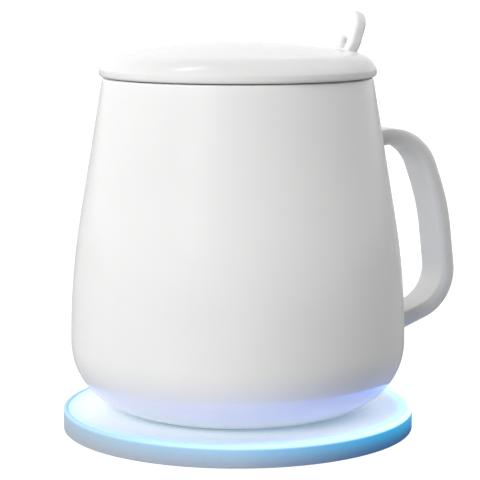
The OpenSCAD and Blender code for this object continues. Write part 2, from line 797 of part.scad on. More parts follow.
// Round body whose slice is the bowl: its outside, or its hollow when shrunk by the wall
module bowl_body(shrink) {
    translate([0, bowl_l / 2, spoon_t / 2 - bowl_depth + bowl_mid_r]) rotate([-90, 0, 0]) rotate_extrude()
        intersection() {
            translate([bowl_mid_r - bowl_arc_r, 0]) circle(bowl_arc_r - shrink);
            translate([0, -bowl_l]) square([bowl_mid_r + over, 2 * bowl_l]);
        }
}

module stem_2d() {
    end_y = spoon_l - paddle_w / 2;
    difference() {
        union() {
            translate([0, end_y]) half_disc(paddle_w / 2);
            translate([-paddle_w / 2, spoon_l - paddle_l]) square([paddle_w, end_y - spoon_l + paddle_l]);
            polygon([
                [-stem_w / 2, stem_start],
                [stem_w / 2, stem_start],
                [stem_w / 2, spoon_l - paddle_l - neck_l],
                [paddle_w / 2, spoon_l - paddle_l],
                [-paddle_w / 2, spoon_l - paddle_l],
                [-stem_w / 2, spoon_l - paddle_l - neck_l]
            ]);
        }
        translate([0, spoon_l - spoon_hole_from_end]) circle(d = spoon_hole_d);
    }
}

module spoon() {
    color("white") translate([spoon_tip_x, 0, spoon_tip_z]) rotate([0, spoon_lean, 0]) rotate([90, 0, -90])
        difference() {
            union() {
                intersection() {
                    bowl_body(0);
                    translate([-bowl_w, -over, spoon_t / 2 - bowl_depth - over])
                        cube([2 * bowl_w, bowl_l + 2 * over, bowl_depth + over]);
                }
                linear_extrude(spoon_t, center = true) stem_2d();
            }
            bowl_body(bowl_wall);
        }
}

anti_slip_pad();
lower_case();
light_ring();
top_plate();
case_screws();
charger_board();
ring_leds();
charger_chips();
tuning_capacitors();
usb_shell();
usb_tongue();
coil_spacer();
transmitter_ferrite();
transmitter_coil();
mug_body();
mug_handle();
heater_plate();
insulation_pad();
thermal_cutout();
heater_pins();
receiver_board();
receiver_chips();
receiver_ferrite();
receiver_coil();
mug_bottom_cover();
cover_gasket();
lid();
spoon();
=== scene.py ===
"""Looks of a self-heating mug with a lid and a spoon, on its wireless charging base."""

import json
import math

import bmesh
import bpy
import numpy as np
from bpy.props import FloatProperty, FloatVectorProperty, IntProperty, PointerProperty
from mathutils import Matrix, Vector
from mathutils.geometry import delaunay_2d_cdt


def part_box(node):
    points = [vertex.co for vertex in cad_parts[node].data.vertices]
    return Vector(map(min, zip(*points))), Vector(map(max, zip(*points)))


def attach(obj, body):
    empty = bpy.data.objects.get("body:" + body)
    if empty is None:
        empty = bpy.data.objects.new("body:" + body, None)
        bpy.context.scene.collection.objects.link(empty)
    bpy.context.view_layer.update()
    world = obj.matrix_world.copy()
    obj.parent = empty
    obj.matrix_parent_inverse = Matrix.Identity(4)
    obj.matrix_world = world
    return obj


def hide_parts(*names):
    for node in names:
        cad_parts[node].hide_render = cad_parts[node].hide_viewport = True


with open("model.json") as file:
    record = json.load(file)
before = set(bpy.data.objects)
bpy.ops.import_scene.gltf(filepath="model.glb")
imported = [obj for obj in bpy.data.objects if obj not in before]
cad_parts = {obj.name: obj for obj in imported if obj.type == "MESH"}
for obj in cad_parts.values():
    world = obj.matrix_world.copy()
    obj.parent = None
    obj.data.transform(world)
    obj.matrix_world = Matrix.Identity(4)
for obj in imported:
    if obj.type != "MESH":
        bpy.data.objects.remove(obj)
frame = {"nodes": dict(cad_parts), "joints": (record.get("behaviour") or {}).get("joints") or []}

bl_info = {
    "name": "Self-heating mug",
    "version": (1, 0, 0),
    "blender": (4, 5, 0),
    "location": "3D View > Sidebar > Heated mug",
    "description": "Builds the looks of a self-heating mug on its wireless charging base",
    "category": "Object",
}

MM = 0.001
# Steps round the axis of turned pieces: those in plain view, those underneath and small ones
FINE_STEPS, PLAIN_STEPS, SMALL_STEPS = 192, 160, 32
# A level under every piece, for glaze that has no bare foot
BELOW_ALL = -1.0
WHITE = (1.0, 1.0, 1.0, 1.0)
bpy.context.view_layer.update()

# Places read from the frame
PAD_LOW, PAD_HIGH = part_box("anti_slip_pad")
RING_LOW, RING_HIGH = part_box("light_ring")
PLATE_LOW, PLATE_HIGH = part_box("top_plate")
SOCKET_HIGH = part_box("usb_shell")[1]
MUG_LOW, MUG_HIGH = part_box("mug_body")
COVER_LOW, COVER_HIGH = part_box("mug_bottom_cover")
LID_LOW, LID_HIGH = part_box("lid")
POCKET_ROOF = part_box("heater_plate")[1].z
GASKET_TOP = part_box("cover_gasket")[1].z
FERRITE_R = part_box("receiver_ferrite")[1].y
BOARD_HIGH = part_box("charger_board")[1]
DIODE_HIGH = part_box("ring_leds")[1]
SPOON_AXIS = next(Vector(j["axis"]) for j in frame["joints"] if j["name"] == "spoon_lift")


# Settings that a user would change

def length(name, description, default):
    """A length setting in metres."""
    return FloatProperty(name=name, description=description, default=default, min=0.0, unit="LENGTH")


def turn(name, description, degrees):
    """An angle setting, whose default is given in degrees."""
    return FloatProperty(name=name, description=description, default=math.radians(degrees), subtype="ANGLE")


def colour(name, description, default):
    """A colour setting, in linear values."""
    return FloatVectorProperty(
        name=name, description=description, default=default, size=3, subtype="COLOR", min=0.0, max=1.0
    )


def amount(name, description, default):
    """A plain number setting."""
    return FloatProperty(name=name, description=description, default=default, min=0.0)


class ChargerSettings(bpy.types.PropertyGroup):
    """Sizes and colours of the charging base."""

    ring_width: length("Ring width", "Width of the light ring, from its inside to its edge", 4.4 * MM)
    ledge_radius: length("Ledge radius", "Radius of the step that the plate sits in", 50.7 * MM)
    plate_thickness: length("Plate thickness", "Thickness of the charging plate", 1.4 * MM)
    ring_chamfer: length("Ring chamfer", "Chamfer on the ring's upper edge", 0.6 * MM)
    skirt_thickness: length("Skirt", "Thickness of the ring's wall where it hides the case's edge", 0.42 * MM)
    seam_round: length("Seam round", "Rounding of the plate's edge at the seam", 0.35 * MM)
    socket_gap: length("Socket gap", "Gap between the socket and the ring at its sides", 0.3 * MM)
    boss_radius: length("Boss radius", "Radius of the plate's screw bosses", 2.4 * MM)
    boss_circle: length("Boss circle", "Distance of the bosses from the middle", 37.1 * MM)
    boss_bore: length("Boss bore", "Radius of the screw's bore in a boss", 1.02 * MM)
    boss_count: IntProperty(name="Bosses", description="Screw bosses under the plate", default=4)
    diode_count: IntProperty(name="Diodes", description="Light-emitting diodes behind the ring", default=12)
    groove_count: IntProperty(name="Pad grooves", description="Round grooves under the pad", default=6)
    groove_depth: length("Groove depth", "Depth of the grooves under the pad", 0.3 * MM)
    ring_colour: colour("Ring plastic", "Colour of the ring's milky plastic", (0.44, 0.46, 0.47))
    # Painted shade: the ring's plastic is run to this dark colour on the side away from the key light
    ring_painted_shade_colour: colour("Clear plastic", "Colour of the ring where it is clearest", (0.03, 0.04, 0.05))
    # The side away from the key light, where the base's glow is made stronger and the ring's plastic darker,
    # as painted light and shade
    shade_side: turn("Bright side", "Direction of the ring's bluest side, turned from the handle", -27.5)
    # The dim side below is the side lit by the key light; the glow's fall-off towards it is painted light
    dim_share: amount("Dim share", "Share of the wall's light that is left on its dim side", 0.32)
    glow_falloff: amount("Glow fall-off", "How steeply the lip's light falls off towards its dim side", 1.1)
    wall_low_glow: colour("Lower glow", "Light of the ring's wall at its foot", (0.0, 0.018, 0.056))
    wall_high_glow: colour("Upper glow", "Light of the ring's wall under its lip", (0.0, 0.089, 0.177))
    lip_glow: colour("Lip glow", "Light of the ring's lip at its bright side", (0.21, 0.38, 1.0))
    lip_dim_glow: colour("Dim lip glow", "Light of the ring's lip at its dim side", (0.0, 0.06, 0.10))
    plate_colour: colour("Plate plastic", "Colour of the charging plate", (0.72, 0.72, 0.72))
    # Painted light: the plate's colour is tinted towards the ring's blue near its rim
    plate_rim_painted_tint: colour("Plate rim", "Colour of the charging plate at its rim", (0.64, 0.70, 0.72))
    # Bright and dim side mean the sides away from and towards the key light; the rim glow's fall-off between
    # them is painted light
    plate_glow: colour("Plate glow", "Light of the plate's rim at its bright side", (0.045, 0.16, 0.80))
    plate_dim_glow: colour("Dim plate glow", "Light of the plate's rim at its dim side", (0.0, 0.045, 0.32))
    # Painted light: a faint glow over the whole plate that lifts it out of the mug's shadow
    plate_painted_fill_glow: colour("Plate inner glow", "Light of the plate away from its rim", (0.034, 0.050, 0.068))
    glow_strength: amount("Glow strength", "How strongly the ring and the plate's rim shine", 4.0)
    glow_reach: length("Glow reach", "How far the light reaches in from the plate's edge", 7.0 * MM)


class MugSettings(bpy.types.PropertyGroup):
    """Sizes and colours of the mug."""

    wall: length("Wall", "Thickness of the wall at the rim", 3.6 * MM)
    lean: turn("Wall lean", "Lean of the straight wall from upright", 9.55)
    belly_radius: length("Belly radius", "Radius of the belly's long curve", 223.0 * MM)
    corner_radius: length("Corner radius", "Radius of the outer lower corner", 20.0 * MM)
    inner_corner_radius: length("Inner corner", "Radius of the inner lower corner", 16.0 * MM)
    floor_thickness: length("Floor", "Thickness of the floor over the heating module", 4.0 * MM)
    rim_radius: length("Rim radius", "Outer radius of the rim", 39.8 * MM)
    rim_outer_edge: length("Rim's outer edge", "Edge radius on the outside of the rim", 0.7 * MM)
    rim_inner_edge: length("Rim's inner edge", "Edge radius on the inside of the rim", 1.6 * MM)
    glaze_colour: colour("Glaze", "Colour of the white glaze", (0.86, 0.86, 0.855))
    bare_colour: colour("Bare foot", "Colour of the unglazed ring under the mug", (0.74, 0.71, 0.66))


class HandleSettings(bpy.types.PropertyGroup):
    """Sizes of the handle; heights are above the mug's foot."""

    width: length("Strap width", "Width of the handle's strap", 13.6 * MM)
    thickness: length("Strap thickness", "Thickness of the handle's strap", 4.7 * MM)
    outer_edge: length("Outer edge", "Edge radius on the outside of the strap", 2.2 * MM)
    inner_edge: length("Inner edge", "Edge radius on the inside of the strap", 1.8 * MM)
    root_fillet: length("Root fillet", "Fillet where the handle meets the mug", 1.6 * MM)
    embed: length("Embedding", "Depth in the wall at which the strap's middle line starts", 2.6 * MM)
    top_root: length("Upper root", "Height of the upper root", 77.3 * MM)
    top_corner: length("Upper corner", "Height of the upper corner", 80.1 * MM)
    top_reach: length("Upper reach", "Reach of the upper corner from the wall", 17.2 * MM)
    top_bend: length("Upper bend", "Bend radius of the upper corner", 14.6 * MM)
    grip_height: length("Grip height", "Height of the grip's middle", 56.8 * MM)
    grip_reach: length("Grip reach", "Reach of the grip's middle from the wall", 22.0 * MM)
    grip_bend: length("Grip bend", "Bend radius of the grip", 63.0 * MM)
    low_corner: length("Lower corner", "Height of the lower corner", 27.6 * MM)
    low_reach: length("Lower reach", "Reach of the lower corner from the belly", 22.5 * MM)
    low_bend: length("Lower bend", "Bend radius of the lower corner", 13.1 * MM)
    low_root: length("Lower root", "Height of the lower root", 18.6 * MM)


class LidSettings(bpy.types.PropertyGroup):
    """Sizes of the lid."""

    rise: length("Rise", "Height of the lid above its lower edge", 9.75 * MM)
    dome_radius: length("Dome radius", "Radius of the lid's dome", 200.0 * MM)
    edge_radius: length("Edge radius", "Radius of the lid's edge", 1.75 * MM)
    lower_edge: length("Lower edge", "Radius of the lid's edge where it turns under", 0.9 * MM)
    shoulder_radius: length("Shoulder radius", "Radius of the shoulder between edge and dome", 7.5 * MM)
    wall: length("Wall", "Thickness of the lid's dome", 4.0 * MM)
    flange_radius: length("Flange radius", "Outer radius of the flange in the mug's mouth", 35.7 * MM)
    flange_thickness: length("Flange", "Thickness of the flange", 3.0 * MM)
    notch_width: length("Notch width", "Width of the notch for the spoon", 11.4 * MM)
    notch_centre: length("Notch centre", "Distance of the notch's round end from the axis", 35.012 * MM)
    notch_round: length("Notch round", "Rounding of the notch's edges", 0.8 * MM)


class SpoonSettings(bpy.types.PropertyGroup):
    """Sizes of the spoon."""

    whole: length("Length", "Length of the spoon", 110.0 * MM)
    thickness: length("Thickness", "Thickness of the stem", 3.8 * MM)
    stem_width: length("Stem width", "Width of the stem", 6.2 * MM)
    paddle_width: length("End width", "Width of the stem's flat end", 9.8 * MM)
    paddle_length: length("End length", "Length of the stem's flat end", 9.3 * MM)
    neck_length: length("Neck", "Length over which the flat end narrows", 6.0 * MM)
    edge_round: length("Edge round", "Rounding of the stem's edges", 0.9 * MM)
    hole_radius: length("Hole radius", "Radius of the hole in the flat end", 1.6 * MM)
    hole_place: length("Hole place", "Distance of the hole from the spoon's end", 10.3 * MM)
    bowl_length: length("Bowl length", "Length of the bowl", 34.0 * MM)
    bowl_width: length("Bowl width", "Width of the bowl", 24.0 * MM)
    bowl_depth: length("Bowl depth", "Depth of the bowl outside", 6.0 * MM)
    bowl_wall: length("Bowl wall", "Wall of the bowl", 2.0 * MM)
    tip_x: length("Tip place", "Distance of the spoon's tip from the mug's axis", 6.408 * MM)
    tip_z: length("Tip height", "Height of the spoon's tip", 18.713 * MM)


class StageSettings(bpy.types.PropertyGroup):
    """Camera, light and floor."""

    camera_distance: length("Camera distance", "Level distance of the camera from the mug's axis", 0.5636)
    camera_height: length("Camera height", "Height of the camera above the floor", 0.1383)
    camera_turn: turn("Camera turn", "Turn of the camera round the mug", 27.5)
    camera_dip: turn("Camera dip", "How far the camera looks down", 8.256)
    lens: FloatProperty(name="Lens", description="Focal length in millimetres", default=144.285)
    shift: FloatProperty(name="Shift", description="Sideways shift of the frame", default=0.0046)
    light_size: turn("Light size", "Angle that each soft light fills", 40.0)
    key_strength: amount("Key light", "Strength of the key light", 2.74)
    key_side: turn("Key side", "Angle of the key light to the left of the camera", 32.5)
    key_height: turn("Key height", "Angle of the key light above the floor", 28.0)
    left_strength: amount("Left light", "Strength of the light from the left", 0.87)
    left_side: turn("Left side", "Angle of that light to the left of the camera", 115.0)
    left_height: turn("Left height", "Angle of that light above the floor", 8.0)
    right_strength: amount("Right light", "Strength of the light from behind on the right", 1.55)
    right_side: turn("Right side", "Angle of that light to the left of the camera", 241.5)
    right_height: turn("Right height", "Angle of that light above the floor", 38.0)
    back_strength: amount("Back light", "Strength of the light from behind, left of the middle", 2.05)
    back_side: turn("Back side", "Angle of that light to the left of the camera", 153.0)
    back_height: turn("Back height", "Angle of that light above the floor", 22.5)
    strip_power: amount("Strip light", "Power in watts of the strip that only shows as a highlight", 0.9)
    strip_side: turn("Strip side", "Angle of the strip to the left of the camera", 71.0)
    strip_height: turn("Strip height", "Angle of the strip above the floor", 62.0)
    strip_distance: length("Strip distance", "Distance of the strip from the lid", 1.0)
    strip_width: length("Strip width", "Width of the strip", 0.14)
    strip_length: length("Strip length", "Length of the strip", 0.35)
    fill_strength: amount("Fill light", "Strength of the even fill light", 0.01)
    floor_lit: amount("Lit floor", "Share of the floor that is lit from below, as on a light table", 0.88)
    floor_bounce: amount("Floor bounce", "Share of light that the floor throws back on the mug", 0.45)
    floor_colour: colour("Floor", "Colour of the floor", (0.90, 0.90, 0.90))


class HeatedMugSettings(bpy.types.PropertyGroup):
    """All settings of the heated mug."""

    charger: PointerProperty(type=ChargerSettings)
    mug: PointerProperty(type=MugSettings)
    handle: PointerProperty(type=HandleSettings)
    lid: PointerProperty(type=LidSettings)
    spoon: PointerProperty(type=SpoonSettings)
    stage: PointerProperty(type=StageSettings)


def settings():
    """The scene's settings."""
    return bpy.context.scene.heated_mug


# Building nodes

def set_inputs(tree, node, inputs):
    """Sets a node's inputs, or links them to other nodes."""
    for key, value in inputs.items():
        if isinstance(value, bpy.types.NodeSocket):
            tree.links.new(value, node.inputs[key])
        else:
            node.inputs[key].default_value = value


def add_node(tree, kind, options=None, inputs=None):
    """Adds a node, sets its options, and sets or links its inputs."""
    node = tree.nodes.new(kind)
    for name, value in (options or {}).items():
        setattr(node, name, value)
    set_inputs(tree, node, inputs or {})
    return node


def add_group(tree, group, inputs):
    """Places a shader node group in a tree."""
    return add_node(tree, "ShaderNodeGroup", {"node_tree": group}, inputs)


def math_node(tree, operation, first, second):
    """The result of one sum."""
    return add_node(tree, "ShaderNodeMath", {"operation": operation}, {0: first, 1: second}).outputs[0]


def vector_node(tree, operation, inputs, output=0):
    """The result of one sum with vectors."""
    node = add_node(tree, "ShaderNodeVectorMath", {"operation": operation}, dict(enumerate(inputs)))
    return node.outputs[output]


def map_range(tree, value, limits, results=(0.0, 1.0), kind="LINEAR"):
    """A value brought from between two limits to between two results."""
    return add_node(tree, "ShaderNodeMapRange", {"interpolation_type": kind}, {
        "Value": value, "From Min": limits[0], "From Max": limits[1],
        "To Min": results[0], "To Max": results[1],
    }).outputs[0]


def noise(tree, vector, scale, detail, roughness):
    """Soft noise between 0 and 1."""
    return add_node(tree, "ShaderNodeTexNoise", None, {
        "Vector": vector, "Scale": scale, "Detail": detail, "Roughness": roughness,
    }).outputs["Fac"]


def mix_colours(tree, factor, first, second):
    """One colour run into another by a factor."""
    node = add_node(tree, "ShaderNodeMix", {"data_type": "RGBA"}, {"Factor": factor, 6: first, 7: second})
    return node.outputs[2]


def mix_values(tree, factor, first, second):
    """One value run into another by a factor."""
    node = add_node(tree, "ShaderNodeMix", {"data_type": "FLOAT"}, {"Factor": factor, 2: first, 3: second})
    return node.outputs[0]


def shaded(tree, tone, value):
    """A tone made darker."""
    return add_node(tree, "ShaderNodeHueSaturation", None, {"Color": tone, "Value": value}).outputs[0]


def level_of(tree, vector):
    """The height of a point."""
    return add_node(tree, "ShaderNodeSeparateXYZ", None, {0: vector}).outputs["Z"]


def solid(tone):
    """A colour with full alpha."""
    return (tone[0], tone[1], tone[2], 1.0)


def new_group(name, inputs, outputs, kind="ShaderNodeTree"):
    """A node group with its named sockets, and its input and output nodes.

    Each of these nodes has an empty socket after the named ones.
    """
    group = bpy.data.node_groups.new(name, kind)
    for in_out, sockets in (("INPUT", inputs), ("OUTPUT", outputs)):
        for label, socket in sockets.items():
            group.interface.new_socket(label, in_out=in_out, socket_type="NodeSocket" + socket)
    return group, group.nodes.new("NodeGroupInput"), group.nodes.new("NodeGroupOutput")


def grain_group():
    """Mottled tone, roughness and height of a moulded, drawn, cast or fibrous surface."""
    if "surface_grain" in bpy.data.node_groups:
        return bpy.data.node_groups["surface_grain"]
    group, start, end = new_group("surface_grain", {
        "Vector": "Vector", "Stretch": "Vector", "Scale": "Float", "Light Tone": "Color",
        "Dark Tone": "Color", "Least Roughness": "Float", "Most Roughness": "Float",
    }, {"Color": "Color", "Roughness": "Float", "Height": "Float"})
    given = start.outputs
    # Nearly all of the noise lies between these values
    usual = (0.3, 0.7)
    place = vector_node(group, "MULTIPLY", [given["Vector"], given["Stretch"]])
    broad = noise(group, place, given["Scale"], detail=5.0, roughness=0.62)
    fine_scale = math_node(group, "MULTIPLY", given["Scale"], 4.0)
    fine = noise(group, place, fine_scale, detail=3.0, roughness=0.5)
    spread = map_range(group, broad, usual)
    set_inputs(group, end, {
        "Color": mix_colours(group, spread, given["Dark Tone"], given["Light Tone"]),
        "Roughness": map_range(group, fine, usual, (given["Least Roughness"], given["Most Roughness"])),
        "Height": math_node(group, "ADD", broad, fine),
    })
    return group


def glaze_group():
    """White glaze: faint clouds in the tone, a soft ripple, pin-fine specks and a bare foot ring."""
    if "white_glaze" in bpy.data.node_groups:
        return bpy.data.node_groups["white_glaze"]
    group, start, end = new_group("white_glaze", {
        "Vector": "Vector", "Glaze Tone": "Color", "Bare Tone": "Color", "Bare Level": "Float",
    }, {"Color": "Color", "Roughness": "Float", "Height": "Float"})
    vector, glaze_tone, bare_tone, bare_level = list(start.outputs)[:4]
    clouds = noise(group, vector, scale=28.0, detail=3.0, roughness=0.5)
    ripple = noise(group, vector, scale=160.0, detail=2.0, roughness=0.4)
    grit = noise(group, vector, scale=1800.0, detail=4.0, roughness=0.6)
    cells = add_node(group, "ShaderNodeTexVoronoi", {"feature": "F1"}, {"Vector": vector, "Scale": 230.0})
    is_speck = map_range(group, cells.outputs["Distance"], (0.045, 0.03))
    is_pale = map_range(group, clouds, (0.35, 0.65))
    glaze = mix_colours(group, is_pale, shaded(group, glaze_tone, 0.975), glaze_tone)
    speckled = mix_colours(group, is_speck, glaze, shaded(group, glaze, 0.93))
    glaze_rough = map_range(group, ripple, (0.0, 1.0), (0.10, 0.24))

    # The bare ring's edge wanders a little up and down
    wander = math_node(group, "MULTIPLY", math_node(group, "SUBTRACT", clouds, 0.5), 0.4 * MM)
    bare_edge = math_node(group, "ADD", bare_level, wander)
    is_bare = math_node(group, "LESS_THAN", level_of(group, vector), bare_edge)
    bare = mix_colours(group, grit, shaded(group, bare_tone, 0.88), bare_tone)
    bare_rough = 0.82
    set_inputs(group, end, {
        "Color": mix_colours(group, is_bare, speckled, bare),
        "Roughness": mix_values(group, is_bare, glaze_rough, bare_rough),
        "Height": mix_values(group, is_bare, ripple, grit),
    })
    return group


def glow_group():
    """Masks for light in the base's plastic: by distance from the axis, by height, and from side to side
    towards the side away from the key light, which carries painted light and shade.
    """
    if "edge_light" in bpy.data.node_groups:
        return bpy.data.node_groups["edge_light"]
    group, start, end = new_group("edge_light", {
        "Vector": "Vector", "Inner Radius": "Float", "Outer Radius": "Float", "Low Level": "Float",
        "High Level": "Float", "Bright Side": "Vector",
    }, {"Outward": "Float", "Upward": "Float", "Sideways": "Float"})
    vector, inner, outer, low, high, shade_side = list(start.outputs)[:6]
    flat = vector_node(group, "MULTIPLY", [vector, (1.0, 1.0, 0.0)])
    radius = vector_node(group, "LENGTH", [flat], "Value")
    aside = vector_node(group, "DOT_PRODUCT", [vector, shade_side], "Value")
    set_inputs(group, end, {
        "Outward": map_range(group, radius, (inner, outer), kind="SMOOTHSTEP"),
        "Upward": map_range(group, level_of(group, vector), (low, high), kind="SMOOTHSTEP"),
        "Sideways": map_range(group, math_node(group, "DIVIDE", aside, outer), (-1.0, 1.0)),
    })
    return group


# Materials

def new_material(name):
    """A material with its shader and its Object coordinates, and nothing else."""
    material = bpy.data.materials.new(name)
    material.use_nodes = True
    tree = material.node_tree
    place = add_node(tree, "ShaderNodeTexCoord").outputs["Object"]
    return material, tree, tree.nodes["Principled BSDF"], place


def add_bump(tree, shader, height, strength, depth):
    """Feeds a height to the shader's normal."""
    bump = add_node(tree, "ShaderNodeBump", None, {"Strength": strength, "Distance": depth, "Height": height})
    set_inputs(tree, shader, {"Normal": bump.outputs[0]})


def add_grain(tree, shader, place, light, dark, scale, rough, bump, stretch=(1.0, 1.0, 1.0), depth=0.2 * MM):
    """Gives a shader the mottled roughness and the fine bumps of one stuff, and returns its mottled tone."""
    grain = add_group(tree, grain_group(), {
        "Vector": place, "Stretch": stretch, "Scale": scale, "Light Tone": solid(light),
        "Dark Tone": solid(dark), "Least Roughness": rough[0], "Most Roughness": rough[1],
    }).outputs
    set_inputs(tree, shader, {"Roughness": grain["Roughness"]})
    add_bump(tree, shader, grain["Height"], bump, depth)
    return grain["Color"]


def grain_material(name, light, dark, scale, rough, bump, stretch=(1.0, 1.0, 1.0), metallic=0.0):
    """A material of one stuff, mottled between two tones at one scale."""
    material, tree, shader, place = new_material(name)
    tone = add_grain(tree, shader, place, light, dark, scale, rough, bump, stretch)
    set_inputs(tree, shader, {"Base Color": tone, "Metallic": metallic})
    return material


def glaze_material(name="white_glaze_plain", bare_level=BELOW_ALL):
    """Glossy white glaze, bare below a level."""
    if name in bpy.data.materials:
        return bpy.data.materials[name]
    mug = settings().mug
    material, tree, shader, place = new_material(name)
    glaze = add_group(tree, glaze_group(), {
        "Vector": place, "Glaze Tone": solid(mug.glaze_colour), "Bare Tone": solid(mug.bare_colour),
        "Bare Level": bare_level,
    }).outputs
    set_inputs(tree, shader, {"Base Color": glaze["Color"], "Roughness": glaze["Roughness"]})
    add_bump(tree, shader, glaze["Height"], strength=0.06, depth=0.4 * MM)
    return material


def glow_masks(tree, place, radii, levels):
    """Masks of the base's light between two radii, between two levels and towards the side away from the key
    light, where light and shade are painted.
    """
    side = settings().charger.shade_side
    return add_group(tree, glow_group(), {
        "Vector": place, "Inner Radius": radii[0], "Outer Radius": radii[1],
        "Low Level": levels[0], "High Level": levels[1], "Bright Side": (math.cos(side), math.sin(side), 0.0),
    }).outputs


def dimmed(tree, sideways, light):
    """Painted light: a glow that falls off towards the side lit by the key light, so that it is strongest on
    the side in shade.
    """
    share = map_range(tree, sideways, (0.0, 1.0), (settings().charger.dim_share, 1.0))
    return mix_colours(tree, share, solid((0.0, 0.0, 0.0)), light)


def sided(tree, sideways, dim_light, bright_light):
    """Painted light: a glow that runs from one colour on the side lit by the key light to another on the side
    in shade.
    """
    share = math_node(tree, "POWER", sideways, settings().charger.glow_falloff)
    return mix_colours(tree, share, solid(dim_light), solid(bright_light))


def ring_material():
    """Milky plastic lit from inside, white at the lip. Towards the side away from the key light its glow is
    made stronger and its plastic darker: painted light and painted shade.
    """
    charger = settings().charger
    material, tree, shader, place = new_material("lit_milky_plastic")
    darker = [0.94 * part for part in charger.ring_colour]
    milky = add_grain(
        tree, shader, place, charger.ring_colour, darker, scale=900.0, rough=(0.30, 0.42), bump=0.05)
    radii = (charger.ledge_radius, -RING_LOW.x)
    chamfer = charger.ring_chamfer
    lip_foot, lip_top = RING_HIGH.z - 2.1 * chamfer, RING_HIGH.z - 0.5 * chamfer
    wall = glow_masks(tree, place, radii, (PAD_HIGH.z, RING_HIGH.z - chamfer))
    lip = glow_masks(tree, place, radii, (lip_foot, lip_top))
    low_glow, high_glow = solid(charger.wall_low_glow), solid(charger.wall_high_glow)
    wall_light = mix_colours(tree, wall["Upward"], low_glow, high_glow)
    # Painted light: the wall's and the lip's glow fall off towards the side lit by the key light
    wall_dimmed = dimmed(tree, wall["Sideways"], wall_light)
    lip_light = sided(tree, wall["Sideways"], charger.lip_dim_glow, charger.lip_glow)
    # Painted shade: the plastic darkens towards the side away from the key light
    painted_darkening = map_range(tree, wall["Sideways"], (0.5, 1.0))
    set_inputs(tree, shader, {
        "Base Color": mix_colours(tree, painted_darkening, milky, solid(charger.ring_painted_shade_colour)),
        "Emission Color": mix_colours(tree, lip["Upward"], wall_dimmed, lip_light),
        "Emission Strength": charger.glow_strength, "Specular IOR Level": 0.12,
    })
    return material


def plate_material():
    """White satin plastic, lit near its rim by the ring around it. Its base colour is tinted there with the
    ring's blue as painted light, the rim's glow is made stronger on the side away from the key light, and a
    faint painted glow lies over the rest of it.
    """
    charger = settings().charger
    material, tree, shader, place = new_material("white_satin_plastic")
    darker = [0.95 * part for part in charger.plate_colour]
    satin = add_grain(
        tree, shader, place, charger.plate_colour, darker, scale=1100.0, rough=(0.34, 0.48), bump=0.08)
    rim, top = PLATE_HIGH.x, PLATE_HIGH.z
    masks = glow_masks(tree, place, (rim - charger.glow_reach, rim), (top - charger.plate_thickness, top))
    steepness = 2.2
    near_rim = math_node(tree, "POWER", masks["Outward"], steepness)
    rim_light = sided(tree, masks["Sideways"], charger.plate_dim_glow, charger.plate_glow)
    set_inputs(tree, shader, {
        # Painted light: the ring's blue is tinted into the plate's colour near its rim
        "Base Color": mix_colours(tree, near_rim, satin, solid(charger.plate_rim_painted_tint)),
        # Painted light away from the rim lifts the plate out of the mug's shadow
        "Emission Color": mix_colours(tree, near_rim, solid(charger.plate_painted_fill_glow), rim_light),
        "Emission Strength": charger.glow_strength,
    })
    return material


def diode_material():
    """White diode housing, lit at its window."""
    material, tree, shader, place = new_material("lit_diode")
    tone = add_grain(
        tree, shader, place, (0.84, 0.84, 0.80), (0.76, 0.76, 0.72),
        scale=2500.0, rough=(0.3, 0.42), bump=0.05, depth=0.1 * MM)
    window = (BOARD_HIGH.y - 0.6 * MM, BOARD_HIGH.y - 0.2 * MM)
    masks = glow_masks(tree, place, window, (BOARD_HIGH.z, DIODE_HIGH.z))
    unlit, blue = solid((0.02, 0.03, 0.04)), solid((0.08, 0.40, 1.0))
    set_inputs(tree, shader, {
        "Base Color": tone, "Emission Color": mix_colours(tree, masks["Outward"], unlit, blue),
        "Emission Strength": settings().charger.glow_strength,
    })
    return material


# Building meshes

def arc(centre, radius, start, end, steps):
    """Points of an arc in a profile's plane, angles in degrees."""
    angles = np.radians(np.linspace(start, end, steps + 1))
    return [(centre[0] + radius * math.cos(a), centre[1] + radius * math.sin(a)) for a in angles]


def line(start, end, steps):
    """Points between two ends, without the ends themselves."""
    return [tuple(np.array(start) + (np.array(end) - np.array(start)) * k / steps) for k in range(1, steps)]


def strip_faces(row_count, width, closed):
    """Faces between rows of points that follow one another, closed round or left open."""
    faces = []
    for k in range(row_count - 1):
        for i in range(width if closed else width - 1):
            j = (i + 1) % width
            faces.append((k * width + i, k * width + j, (k + 1) * width + j, (k + 1) * width + i))
    return faces


def plain_mesh(name, points, faces, edges=()):
    """A mesh from its points and faces."""
    mesh = bpy.data.meshes.new(name)
    mesh.from_pydata(points, edges, faces)
    return mesh


def mesh_of(work, name):
    """A mesh from a bmesh, which is freed."""
    mesh = bpy.data.meshes.new(name)
    work.to_mesh(mesh)
    work.free()
    return mesh


def add_box(work, low, high):
    """Adds a box between two corners to a bmesh."""
    for vert in bmesh.ops.create_cube(work, size=1.0)["verts"]:
        vert.co = [high[k] if vert.co[k] > 0.0 else low[k] for k in range(3)]


def tidy_mesh(mesh, merge=1e-7, sharp=35.0):
    """Merges doubles, closes pinholes, turns the faces outwards and shades smooth between sharp edges."""
    work = bmesh.new()
    work.from_mesh(mesh)
    bmesh.ops.remove_doubles(work, verts=work.verts, dist=merge)
    bmesh.ops.dissolve_degenerate(work, edges=work.edges, dist=merge)
    bmesh.ops.holes_fill(work, edges=work.edges, sides=4)
    bmesh.ops.recalc_face_normals(work, faces=work.faces)
    open_edges = sum(1 for edge in work.edges if not edge.is_manifold)
    work.to_mesh(mesh)
    work.free()
    if open_edges:
        raise RuntimeError(f"{mesh.name} has {open_edges} edges that aren't closed")
    mesh.shade_smooth()
    mesh.set_sharp_from_angle(angle=math.radians(sharp))
    mesh.update()
    return mesh


